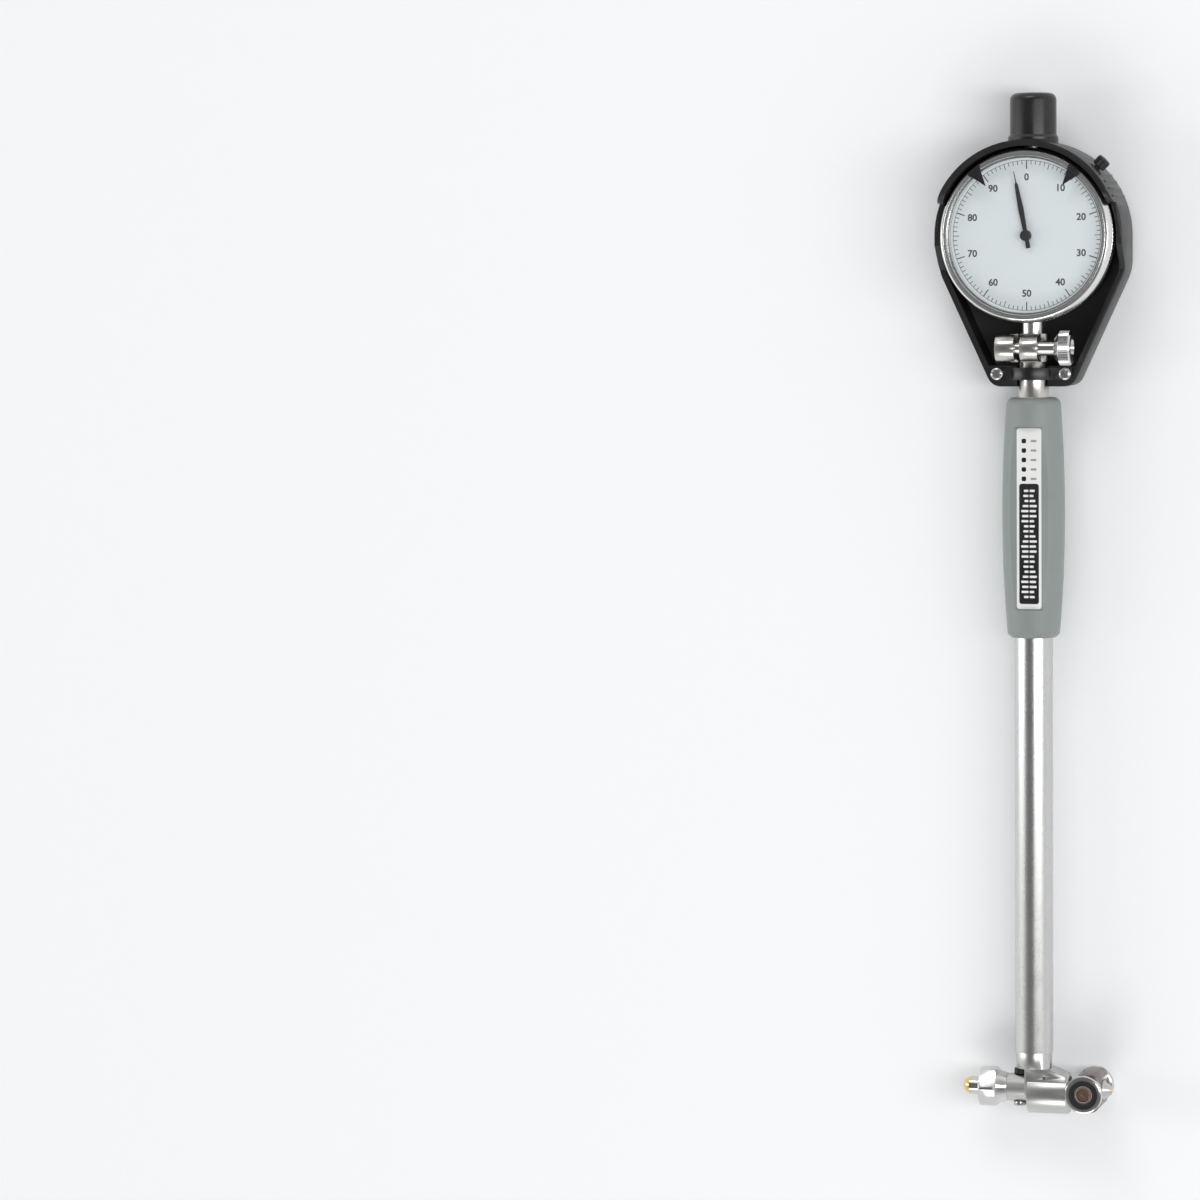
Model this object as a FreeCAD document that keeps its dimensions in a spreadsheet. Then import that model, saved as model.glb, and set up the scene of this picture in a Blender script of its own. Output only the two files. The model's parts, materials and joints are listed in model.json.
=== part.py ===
import FreeCAD, Part
import math
import os
import Sketcher

# Dial bore gauge, 50 mm class, lying on its back with the dial up.
# X is the measuring direction (sprung contact at +X), Y runs up the tube to the dial, Z is up.
# The origin is on the flat back of the cover, under the centre of the dial.

Vector = FreeCAD.Vector
Rotation = FreeCAD.Rotation

doc = FreeCAD.newDocument("DialBoreGauge")

# Driving dimensions, in millimetres and degrees.
DRIVING = {
    # General
    "axis_height": 12.0,
    "press_gap": 0.01,
    "running_gap": 0.04,
    "seat_gap": 0.05,
    "free_gap": 0.2,
    # Cover of the indicator
    "hood_gap": 0.6,
    "cover_wall": 1.9,
    "cover_back": 2.0,
    "cover_side": 11.4,
    "cover_bottom": 49.4,
    "cover_taper": 24.8,
    "cover_bend": 14.0,
    "cover_corner": 4.8,
    "cover_front": 22.0,
    "cover_low_front": 14.5,
    "cover_ramp_top": 3.0,
    "cover_ramp_bottom": 11.0,
    "cover_foot": 6.8,
    "cover_edge": 1.2,
    "hood_front": 30.0,
    "hood_start": 20.0,
    "hood_end_round": 5.0,
    "rib_radius": 0.5,
    "rib_sink": 0.15,
    "rib_first": 24.0,
    "rib_span": 15.0,
    "rib_count": 4,
    "cap_seat_radius": 8.2,
    "cap_seat_rise": 0.4,
    # Strap over the holder and its two screws
    "strap_half_width": 13.4,
    "strap_length": 4.0,
    "strap_plate": 1.8,
    "strap_arch": 2.9,
    "strap_place": 45.2,
    "strap_screw_offset": 11.3,
    "strap_screw_head": 4.0,
    "strap_screw_head_height": 1.3,
    "strap_screw_thread": 2.8,
    "strap_screw_length": 6.0,
    # Top cap
    "cap_base_radius": 8.2,
    "cap_radius": 7.6,
    "cap_foot": 1.6,
    "cap_height": 15.2,
    "cap_round": 2.4,
    "cap_roof": 2.3,
    # Grip
    "neck_length": 3.6,
    "grip_length": 79.0,
    "grip_bottom_radius": 8.6,
    "grip_top_radius": 8.95,
    "grip_crown_radius": 470.0,
    "grip_chamfer": 1.2,
    "grip_top_round": 2.4,
    "grip_flat_height": 8.0,
    "grip_flat_from": 9.3,
    "grip_flat_length": 60.2,
    # Tube and the parts inside it
    "tube_length": 209.8,
    "tube_inset": 7.0,
    "tube_radius": 6.3,
    "tube_bore_radius": 4.5,
    "rod_radius": 1.5,
    "rod_bush_length": 6.0,
    "upper_bush_inset": 60.0,
    "lower_bush_inset": 25.0,
    "rod_collar_radius": 3.0,
    "rod_collar_length": 1.6,
    "rod_spring_radius": 2.4,
    "rod_spring_wire": 0.35,
    "rod_spring_length": 16.0,
    "rod_spring_turns": 6,
    "coil_steps": 12,
    "wire_sides": 6,
    # Holder: split clamp, sleeve and spigot
    "sleeve_radius": 5.0,
    "clamp_radius": 6.0,
    "clamp_place": 36.7,
    "clamp_half_length": 4.6,
    "lug_radius": 4.4,
    "lug_height": 8.5,
    "lug_left_end": 10.6,
    "lug_right_end": 3.4,
    "slit_left": 4.4,
    "slit_width": 2.0,
    "tail_radius": 6.0,
    "spigot_length": 10.0,
    "chamber_radius": 3.2,
    "chamber_depth": 10.4,
    "rod_rib": 2.0,
    "rod_free_gap": 0.2,
    # Clamp screw
    "knob_radius": 5.8,
    "knob_neck_radius": 3.6,
    "knob_start": 8.8,
    "knob_length": 5.6,
    "knob_shoulder": 1.5,
    "knob_edge": 0.6,
    "shank_radius": 2.5,
    "clamp_thread_radius": 2.0,
    "clamp_screw_end": 10.2,
    # Indicator case
    "case_radius": 26.0,
    "case_wall": 1.7,
    "case_front": 10.4,
    "case_back": 6.1,
    "case_back_thickness": 1.5,
    "case_flange_width": 3.0,
    "case_flange": 0.8,
    "stem_radius": 4.0,
    "stem_length": 20.0,
    "stem_inset": 1.65,
    "spindle_radius": 2.0,
    "spindle_overhang": 2.0,
    "spindle_rise": 11.0,
    "point_radius": 2.2,
    "point_length": 7.3,
    "point_ball": 1.4,
    "top_bush_radius": 4.2,
    "top_bush_rise": 10.0,
    "back_screw_angle": 45.0,
    "back_screw_radius": 1.4,
    "back_screw_head": 0.5,
    "back_screw_thread": 0.8,
    "back_screw_inset": 4.5,
    # Bezel, crystal, dial and markers
    "bezel_wall": 2.5,
    "bezel_bottom": 7.6,
    "bezel_shoulder": 12.2,
    "bezel_lip": 16.3,
    "bezel_lip_inset": 1.0,
    "bezel_edge": 0.4,
    "ledge_inset": 4.1,
    "ledge_thickness": 0.75,
    "dial_inset": 3.3,
    "dial_thickness": 0.6,
    "dial_hole_radius": 1.3,
    "crystal_seat": 14.9,
    "crystal_inset": 2.7,
    "crystal_thickness": 1.3,
    "groove_inset": 2.1,
    "groove_width": 0.6,
    "groove_depth": 0.6,
    "marker_angle": 38.0,
    "marker_half_angle": 5.0,
    "marker_thickness": 0.6,
    "marker_tip_inset": 8.1,
    "marker_waist_inset": 3.9,
    "marker_half_width": 1.5,
    "lock_angle": 45.0,
    "lock_height": 4.6,
    "lock_thread_radius": 1.0,
    "lock_collar_radius": 2.0,
    "lock_collar_length": 1.4,
    "lock_knob_radius": 2.3,
    "lock_knob_length": 3.3,
    # Movement
    "plate_thickness": 1.0,
    "top_plate_inset": 3.5,
    "top_plate_height": 7.4,
    "top_plate_thickness": 0.8,
    "pillar_radius": 1.5,
    "pillar_x": 15.0,
    "pillar_y": 3.0,
    "corner_pillar_x": 10.0,
    "rack_pitch": 0.625,
    "rack_pinion_teeth": 16,
    "wheel_teeth": 100,
    "centre_pinion_teeth": 10,
    "train_module": 0.2,
    "tooth_share": 0.4,
    "tooth_rise_share": 0.6,
    "tooth_top_share": 0.25,
    "tooth_root_share": 0.7,
    "mesh_slack": 0.03,
    "rack_flat": 1.41,
    "rack_depth": 0.38,
    "rack_line_share": 0.4,
    "rack_mouth_share": 0.38,
    "rack_floor_share": 0.2,
    "rack_gaps": 10,
    "rack_gaps_below": 6,
    "rack_pinion_width": 2.4,
    "wheel_height": 4.0,
    "wheel_thickness": 0.6,
    "centre_pinion_height": 3.5,
    "centre_pinion_width": 1.6,
    "arbor_radius": 0.6,
    "pivot_radius": 0.4,
    "centre_arbor_radius": 0.5,
    "cock_height": 2.4,
    "cock_thickness": 0.8,
    "cock_half_length": 10.5,
    "cock_half_width": 2.0,
    "cock_leg": 2.0,
    "pointer_height": 12.7,
    "pointer_thickness": 0.4,
    "pointer_tip_inset": 4.0,
    "pointer_shoulder_inset": 8.4,
    "pointer_belly": 9.0,
    "pointer_half_width": 0.9,
    "pointer_root_share": 0.7,
    "pointer_shoulder_share": 0.6,
    "pointer_tail_share": 0.8,
    "pointer_tip_half_width": 0.16,
    "pointer_tail": 4.2,
    "pointer_hub_radius": 1.8,
    "pointer_boss_radius": 1.08,
    "pointer_hub_height": 1.7,
    "pointer_angle": 11.0,
    "hairspring_inner": 1.3,
    "hairspring_outer": 4.6,
    "hairspring_strip": 0.14,
    "hairspring_height": 5.4,
    "hairspring_width": 0.5,
    "hairspring_turns": 3,
    "hairspring_steps": 16,
    "return_spring_x": 5.5,
    "return_spring_radius": 1.0,
    "return_spring_wire": 0.2,
    "return_spring_turns": 8,
    "return_post_inset": 7.0,
    "cross_pin_inset": 10.0,
    "cross_pin_radius": 0.6,
    "cross_pin_end": 9.0,
    "guide_rail_x": 7.2,
    "guide_rail_width": 2.0,
    "guide_rail_half_length": 5.0,
    "guide_rail_top": 2.6,
    "spindle_travel": 2.4,
    # Measuring head
    "collar_radius": 5.95,
    "collar_length": 5.4,
    "axis_below_collar": 6.8,
    "barrel_radius": 6.6,
    "barrel_drop": 1.75,
    "barrel_left": 1.5,
    "barrel_right": 12.0,
    "barrel_edge": 0.5,
    "neck_left": 2.4,
    "neck_half_depth": 5.0,
    "neck_slope_end": 11.3,
    "neck_slope_top": 4.4,
    "anvil_sleeve_radius": 4.6,
    "anvil_sleeve_left": 8.6,
    "nose_radius": 4.0,
    "nose_left": 15.8,
    "anvil_radius": 3.0,
    "anvil_inner": 2.2,
    "anvil_left": 20.6,
    "anvil_dome": 3.3,
    "anvil_dome_start": 0.9,
    "anvil_dome_radius": 3.2,
    "nut_flats": 12.2,
    "nut_half_side_angle": 30.0,
    "nut_corner_radius": 6.85,
    "nut_length": 9.3,
    "nut_cone_length": 3.4,
    "nut_cone_radius": 5.6,
    "nut_chamfer": 0.6,
    "nut_front": 1.6,
    "anvil_screw_x": 4.8,
    "anvil_screw_head_radius": 1.9,
    "anvil_screw_head_height": 1.9,
    "stop_screw_head_radius": 2.1,
    "stop_screw_head_height": 1.7,
    "anvil_screw_thread": 1.0,
    # Bell crank
    "lever_arm": 4.0,
    "lever_tip_radius": 1.1,
    "lever_hub_radius": 1.7,
    "lever_arm_half_width": 0.7,
    "lever_half_thickness": 1.5,
    "lever_pin_radius": 0.6,
    "lever_pin_half_length": 4.3,
    "slot_half_width": 1.7,
    "slot_left": 1.7,
    "slot_right": 5.9,
    "slot_top": 7.2,
    # Contact plunger
    "plunger_radius": 2.5,
    "plunger_nib_radius": 0.9,
    "plunger_nib_length": 1.8,
    "plunger_bore_left": 3.1,
    "plunger_shoulder": 19.0,
    "plunger_nose_radius": 3.2,
    "plunger_cone_start": 23.3,
    "plunger_end": 26.0,
    "plunger_end_radius": 1.35,
    "contact_end": 26.6,
    "contact_radius": 0.8,
    "contact_depth": 2.0,
    # Centring bridge with its wheels
    "bridge_left": 15.4,
    "bridge_right": 23.0,
    "bridge_half_height": 6.2,
    "bridge_half_depth": 8.9,
    "bridge_round": 2.4,
    "guide_pin_radius": 0.75,
    "guide_pin_offset": 4.5,
    "guide_pin_inner": 4.6,
    "guide_pin_seat": 4.0,
    "guide_travel": 3.0,
    "guide_spring_radius": 1.0,
    "guide_spring_wire": 0.15,
    "guide_spring_turns": 6,
    "guide_spring_pocket_radius": 1.27,
    "guide_spring_pocket_end": 6.0,
    "wheel_x": 18.4,
    "wheel_radius": 6.2,
    "wheel_width": 3.0,
    "wheel_edge": 0.5,
    "wheel_ring_inner": 4.8,
    "wheel_hub_outer": 2.95,
    "wheel_groove": 0.7,
    "wheel_head_recess": 1.25,
    "axle_radius": 1.5,
    "axle_head_radius": 2.2,
    "axle_head_height": 1.0,
    "axle_seat": 3.0,
}

sheet = doc.addObject("Spreadsheet::Sheet", "Sizes")
for row, (name, value) in enumerate(DRIVING.items(), start=1):
    sheet.set("A%d" % row, name.replace("_", " "))
    sheet.set("B%d" % row, str(value))
    sheet.setAlias("B%d" % row, name)
doc.recompute()


class Size:
    """A number together with the spreadsheet formula that gives it."""

    def __init__(self, number, formula):
        self.number = number
        self.formula = formula

    def __add__(self, other):
        other = as_size(other)
        return Size(self.number + other.number, "(%s + %s)" % (self.formula, other.formula))

    def __sub__(self, other):
        other = as_size(other)
        return Size(self.number - other.number, "(%s - %s)" % (self.formula, other.formula))

    def __mul__(self, other):
        other = as_size(other)
        return Size(self.number * other.number, "(%s * %s)" % (self.formula, other.formula))

    def __truediv__(self, other):
        other = as_size(other)
        return Size(self.number / other.number, "(%s / %s)" % (self.formula, other.formula))

    def __radd__(self, other):
        return as_size(other) + self

    def __rsub__(self, other):
        return as_size(other) - self

    def __rmul__(self, other):
        return as_size(other) * self

    def __neg__(self):
        return Size(-self.number, "(-1 * %s)" % self.formula)


def as_size(value):
    if isinstance(value, Size):
        return value
    return Size(float(value), "(%r)" % float(value))


def sine(angle):
    return Size(math.sin(math.radians(angle.number)), "sin(%s)" % angle.formula)


def cosine(angle):
    return Size(math.cos(math.radians(angle.number)), "cos(%s)" % angle.formula)


def tangent(angle):
    return Size(math.tan(math.radians(angle.number)), "tan(%s)" % angle.formula)


def root(value):
    return Size(math.sqrt(value.number), "sqrt(%s)" % value.formula)


class SizeReader:
    """Gives each named cell of the sheet as a Size."""

    def __getattr__(self, name):
        return Size(float(sheet.get(name)), "Sizes." + name)


s = SizeReader()
zero = Size(0.0, "0")
nodes = []


def bind(target, path, size):
    target.setExpression(path, as_size(size).formula)


def place(item, x=zero, y=zero, z=zero, rotation=None):
    """Puts an object at a named place."""
    base = [as_size(value) for value in (x, y, z)]
    item.Placement = FreeCAD.Placement(Vector(*[value.number for value in base]), rotation or Rotation())
    for letter, value in zip("xyz", base):
        bind(item, "Placement.Base." + letter, value)
    return item


def node(item, label):
    """Marks an object as a finished sub-part."""
    item.Label = label
    nodes.append(item)
    return item


# Rotations that carry the local X axis, along which parts are turned, to where they point.
TOWARDS = {
    "+X": Rotation(),
    "-X": Rotation(Vector(0, 0, 1), 180),
    "+Y": Rotation(Vector(0, 0, 1), 90),
    "-Y": Rotation(Vector(0, 0, 1), -90),
    "+Z": Rotation(Vector(0, 1, 0), -90),
    "-Z": Rotation(Vector(0, 1, 0), 90),
}


# Sketches and PartDesign features

def origin_plane(body, role):
    return next(item for item in body.Origin.OriginFeatures if item.Role == role)


def sketch_on(body, plane, offset=zero):
    sketch = body.newObject("Sketcher::SketchObject", body.Name + "Sketch")
    sketch.AttachmentSupport = [(origin_plane(body, plane), "")]
    sketch.MapMode = "FlatFace"
    sketch.AttachmentOffset = FreeCAD.Placement(Vector(0, 0, as_size(offset).number), Rotation())
    if offset is not zero:
        bind(sketch, "AttachmentOffset.Base.z", offset)
    return sketch


def hold_point(sketch, edge, end, x, y):
    """Ties one end of an edge to its named coordinates."""
    for kind, value, axis in (("DistanceX", x, -2), ("DistanceY", y, -1)):
        if value is zero:
            sketch.addConstraint(Sketcher.Constraint("PointOnObject", edge, end, axis))
        else:
            index = sketch.addConstraint(
                Sketcher.Constraint(kind, -1, 1, edge, end, value.number))
            bind(sketch, "Constraints[%d]" % index, value)


def arc_between(start, end, radius):
    """The short arc from start to end: to the left for a positive radius, to the right for a negative."""
    chord = end - start
    side = Vector(-chord.y, chord.x, 0).normalize()
    rise = math.sqrt(max(radius ** 2 - chord.Length ** 2 / 4, 0.0))
    centre = (start + end) * 0.5 + side * math.copysign(rise, radius)
    first, last = (start, end) if radius > 0 else (end, start)
    low = math.atan2(first.y - centre.y, first.x - centre.x)
    high = math.atan2(last.y - centre.y, last.x - centre.x)
    if high < low:
        high += 2 * math.pi
    return Part.ArcOfCircle(Part.Circle(centre, Vector(0, 0, 1), abs(radius)), low, high)


def draw(sketch, points):
    """Draws a closed outline. A third value at a point makes the next edge an arc of that radius."""
    first = sketch.GeometryCount
    rows = [(as_size(p[0]) if p[0] is not zero else zero,
             as_size(p[1]) if p[1] is not zero else zero,
             as_size(p[2]) if len(p) > 2 else None) for p in points]
    ends = []
    for index, (x, y, radius) in enumerate(rows):
        nx, ny, _ = rows[(index + 1) % len(rows)]
        start = Vector(x.number, y.number, 0)
        end = Vector(nx.number, ny.number, 0)
        if radius is None:
            sketch.addGeometry(Part.LineSegment(start, end), False)
            ends.append((1, 2))
        else:
            sketch.addGeometry(arc_between(start, end, radius.number), False)
            ends.append((1, 2) if radius.number > 0 else (2, 1))
    for index in range(len(rows)):
        following = (index + 1) % len(rows)
        sketch.addConstraint(Sketcher.Constraint(
            "Coincident", first + index, ends[index][1], first + following, ends[following][0]))
    for index, (x, y, radius) in enumerate(rows):
        hold_point(sketch, first + index, ends[index][0], x, y)
        if radius is not None:
            number = sketch.addConstraint(
                Sketcher.Constraint("Radius", first + index, abs(radius.number)))
            bind(sketch, "Constraints[%d]" % number, radius if radius.number > 0 else -radius)


def draw_circle(sketch, x, y, radius):
    x, y, radius = as_size(x) if x is not zero else zero, as_size(y) if y is not zero else zero, as_size(radius)
    circle = sketch.addGeometry(
        Part.Circle(Vector(x.number, y.number, 0), Vector(0, 0, 1), radius.number), False)
    hold_point(sketch, circle, 3, x, y)
    number = sketch.addConstraint(Sketcher.Constraint("Radius", circle, radius.number))
    bind(sketch, "Constraints[%d]" % number, radius)


def pad(body, sketch, length, side="One side", towards_back=False):
    feature = body.newObject("PartDesign::Pad", body.Name + "Pad")
    feature.Profile = sketch
    feature.SideType = side
    feature.Reversed = towards_back
    bind(feature, "Length", length)
    return feature


def pocket(body, sketch, length, side="One side", towards_front=False):
    feature = body.newObject("PartDesign::Pocket", body.Name + "Pocket")
    feature.Profile = sketch
    feature.SideType = side
    feature.Reversed = towards_front
    bind(feature, "Length", length)
    return feature


def revolve(body, sketch):
    feature = body.newObject("PartDesign::Revolution", body.Name + "Revolution")
    feature.Profile = sketch
    feature.ReferenceAxis = (sketch, ["H_Axis"])
    feature.Angle = 360
    return feature


def edge_names(shape, test):
    return ["Edge%d" % (index + 1) for index, edge in enumerate(shape.Edges) if test(edge)]


def blend_edges(body, kind, radius, test):
    """Fillets or chamfers the edges of the body's last feature that pass the test."""
    doc.recompute()
    last = body.Tip
    feature = body.newObject("PartDesign::" + kind, body.Name + kind)
    feature.Base = (last, edge_names(last.Shape, test))
    bind(feature, "Radius" if kind == "Fillet" else "Size", radius)
    return feature


def hole_along(body, x, y, z, rotation, radius, length, kind="Subtractive"):
    """A cylinder added to or taken from a body, from a point along a turned Z axis."""
    feature = body.newObject("PartDesign::%sCylinder" % kind, body.Name + "Bore")
    bind(feature, "Radius", radius)
    bind(feature, "Height", length)
    feature.Radius = as_size(radius).number
    feature.Height = as_size(length).number
    place(feature, x, y, z, rotation)
    return feature


def new_body(label):
    words = label.split("_")
    return doc.addObject("PartDesign::Body", "".join(word.capitalize() for word in words))


def lathe(label, outline, x=zero, y=zero, z=zero, towards="+X"):
    """A turned body: stations along its axis and radii, revolved and pointed along a direction."""
    body = new_body(label)
    sketch = sketch_on(body, "XY_Plane")
    draw(sketch, outline)
    revolve(body, sketch)
    rotation = TOWARDS[towards] if isinstance(towards, str) else towards
    return place(body, x, y, z, rotation)


def turned(label, outline, x=zero, y=zero, z=zero, towards="+X"):
    """A turned body that is a sub-part by itself."""
    return node(lathe(label, outline, x, y, z, towards), label)


# Part primitives and booleans

ALONG = {
    "X": Rotation(Vector(0, 1, 0), 90),
    "Y": Rotation(Vector(1, 0, 0), -90),
    "Z": Rotation(),
}


def rod(axis, start, end, radius, across=(zero, zero)):
    """A cylinder along X, Y or Z between two stations; across gives its other two coordinates."""
    item = doc.addObject("Part::Cylinder", "Rod")
    bind(item, "Radius", radius)
    bind(item, "Height", as_size(end) - start)
    base = list(across)
    base.insert("XYZ".index(axis), start)
    return place(item, *base, rotation=ALONG[axis])


def block(low, high):
    """A box between two corners."""
    item = doc.addObject("Part::Box", "Block")
    for name, first, last in zip(("Length", "Width", "Height"), low, high):
        bind(item, name, as_size(last) - first)
    return place(item, *low)


def fuse(*items):
    feature = doc.addObject("Part::MultiFuse", "Fusion")
    feature.Shapes = list(items)
    return feature


def cut(base, *tools):
    feature = doc.addObject("Part::Cut", "Cut")
    feature.Base = base
    feature.Tool = tools[0] if len(tools) == 1 else fuse(*tools)
    return feature


def common(*items):
    feature = doc.addObject("Part::MultiCommon", "Common")
    feature.Shapes = list(items)
    return feature


def group(*items):
    """Like pieces kept as separate solids of one sub-part."""
    feature = doc.addObject("Part::Compound", "Group")
    feature.Links = list(items)
    return feature


def in_head(item):
    """The head's pieces are drawn about the point where the measuring axis meets the tube axis."""
    return place(item, zero, measuring_y, s.axis_height)


def in_dial(item):
    """The indicator's pieces are drawn about the tube axis, level with the centre of the dial."""
    return place(item, zero, zero, s.axis_height)


def turn_about_dial(item, angle):
    """Turns a piece that points to 12 o'clock about the dial's axis, anticlockwise for a positive angle."""
    item.Placement.Rotation = Rotation(Vector(0, 0, 1), angle.number)
    bind(item, "Placement.Rotation.Angle", angle)


# The indicator's round parts follow the radius of its case
bezel_radius = s.case_radius + s.bezel_wall
bezel_lip_radius = bezel_radius - s.bezel_lip_inset
groove_radius = bezel_radius - s.groove_inset
crystal_radius = bezel_radius - s.crystal_inset
dial_radius = bezel_radius - s.dial_inset
case_bore = s.case_radius - s.case_wall
cover_radius = bezel_radius + s.hood_gap + s.cover_wall
cross_pin_y = s.case_radius - s.cross_pin_inset
return_post_y = s.case_radius - s.return_post_inset
top_bush_end = s.case_radius + s.top_bush_rise

# Places worked out along the gauge, from the dial down to the measuring head
grip_top = -(s.cover_bottom + s.neck_length)
grip_bottom = grip_top - s.grip_length
tube_top = grip_top - s.tube_inset
tube_bottom = tube_top - s.tube_length
collar_bottom = tube_bottom - s.collar_length
measuring_y = collar_bottom - s.axis_below_collar
stem_end = -(s.case_radius + s.stem_length)
point_end = stem_end - s.spindle_overhang - s.point_length
rod_top = point_end - s.running_gap
lever_reach = s.lever_arm + s.lever_tip_radius + s.running_gap


# tube, grip and holder

def make_tube():
    turned("main_tube", [
        (zero, s.tube_bore_radius), (zero, s.tube_radius),
        (s.tube_length, s.tube_radius), (s.tube_length, s.tube_bore_radius),
    ], y=tube_bottom, z=s.axis_height, towards="+Y")


def make_grip():
    body = new_body("grip")
    sketch = sketch_on(body, "XY_Plane")
    bore = s.tube_radius + s.press_gap
    top_bore = s.tail_radius + s.press_gap
    tail_start = s.grip_length - s.tube_inset
    draw(sketch, [
        (zero, bore),
        (zero, s.grip_bottom_radius - s.grip_chamfer),
        (s.grip_chamfer, s.grip_bottom_radius, -s.grip_crown_radius),
        (s.grip_length - s.grip_top_round, s.grip_top_radius, -s.grip_top_round),
        (s.grip_length, s.grip_top_radius - s.grip_top_round),
        (s.grip_length, top_bore),
        (tail_start, top_bore),
        (tail_start, bore),
    ])
    revolve(body, sketch)
    # Flat for the label, on the side that faces the reader of the dial.
    flat = body.newObject("PartDesign::SubtractiveBox", "GripFlat")
    bind(flat, "Length", s.grip_flat_length)
    bind(flat, "Width", 2 * s.grip_top_radius)
    bind(flat, "Height", s.grip_top_radius)
    place(flat, s.grip_flat_from, -s.grip_top_radius, s.grip_flat_height)
    place(body, zero, grip_bottom, s.axis_height, TOWARDS["+Y"])
    node(body, "grip")


def make_holder():
    clamp_low = -(s.clamp_place + s.clamp_half_length)
    clamp_high = -(s.clamp_place - s.clamp_half_length)
    lug_across = (-s.clamp_place, s.lug_height)
    slit_right = -s.slit_left + s.slit_width
    chamber_top = stem_end - s.spindle_overhang / 2
    chamber_bottom = chamber_top - s.chamber_depth
    spigot_end = tube_top - s.spigot_length
    spigot_radius = s.tube_bore_radius - s.press_gap
    solid = fuse(
        rod("Y", clamp_low, clamp_high, s.clamp_radius),
        rod("Y", grip_top, clamp_low, s.sleeve_radius),
        rod("Y", tube_top, grip_top, s.tail_radius),
        rod("Y", spigot_end, tube_top, spigot_radius),
        rod("X", -s.lug_left_end, -s.slit_left, s.lug_radius, lug_across),
        rod("X", slit_right, s.lug_right_end, s.lug_radius, lug_across),
        block((-s.clamp_radius, clamp_low, zero), (-s.slit_left, clamp_high, s.lug_height)),
        block((slit_right, clamp_low, s.sleeve_radius - s.cover_wall), (s.lug_right_end, clamp_high, s.lug_height)),
    )
    holes = fuse(
        rod("Y", chamber_top, clamp_high + 1, s.stem_radius + s.press_gap * 2),
        rod("Y", chamber_bottom, chamber_top, s.chamber_radius),
        rod("Y", chamber_bottom - s.rod_rib, chamber_bottom, s.rod_radius + s.rod_free_gap),
        rod("Y", spigot_end - 1, chamber_bottom - s.rod_rib, s.chamber_radius),
        block((-s.slit_left, clamp_low - s.slit_width, zero),
              (slit_right, clamp_high + 1, s.lug_height + s.lug_radius + 1)),
        rod("X", -s.lug_left_end - 1, -s.slit_left, s.clamp_thread_radius + s.seat_gap, lug_across),
        rod("X", slit_right, s.lug_right_end + 1, s.clamp_thread_radius + s.free_gap, lug_across),
    )
    node(in_dial(cut(solid, holes)), "holder")


def make_clamp_screw():
    """Knurled knob, shank and thread turned in one, along X from the tip of the thread."""
    start = -s.clamp_screw_end
    shoulder = s.lug_right_end + s.seat_gap - start
    knob = s.knob_start - start
    knob_end = knob + s.knob_length
    turned("clamp_screw", [
        (zero, zero),
        (zero, s.clamp_thread_radius - s.knob_edge),
        (s.knob_edge, s.clamp_thread_radius),
        (shoulder, s.clamp_thread_radius),
        (shoulder, s.shank_radius),
        (knob, s.shank_radius),
        (knob, s.knob_neck_radius),
        (knob + s.knob_shoulder, s.knob_radius),
        (knob_end - s.knob_edge, s.knob_radius),
        (knob_end, s.knob_radius - s.knob_edge),
        (knob_end, zero),
    ], start, -s.clamp_place, s.axis_height + s.lug_height)


def make_rod_parts():
    rod_bottom = measuring_y + lever_reach
    turned("push_rod", [
        (zero, zero), (zero, s.rod_radius), (rod_top - rod_bottom, s.rod_radius), (rod_top - rod_bottom, zero),
    ], y=rod_bottom, z=s.axis_height, towards="+Y")
    spring_top = stem_end - s.spindle_overhang / 2 - s.chamber_depth - s.rod_rib - s.running_gap
    collar_top = spring_top - s.rod_spring_length
    turned("rod_collar", [
        (zero, s.rod_radius + s.press_gap), (zero, s.rod_collar_radius),
        (s.rod_collar_length, s.rod_collar_radius), (s.rod_collar_length, s.rod_radius + s.press_gap),
    ], y=collar_top - s.rod_collar_length - s.running_gap, z=s.axis_height, towards="+Y")
    node(coil(s.rod_spring_radius, s.rod_spring_wire, s.rod_spring_length, s.rod_spring_turns,
              zero, collar_top, s.axis_height, "Y"), "rod_spring")
    bushes = []
    for start in (tube_top - s.upper_bush_inset, tube_bottom + s.lower_bush_inset):
        bushes.append(cut(rod("Y", start, start + s.rod_bush_length, s.tube_bore_radius - s.press_gap),
                          rod("Y", start - 1, start + s.rod_bush_length + 1, s.rod_radius + s.running_gap)))
    node(in_dial(group(*bushes)), "rod_bushes")


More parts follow.
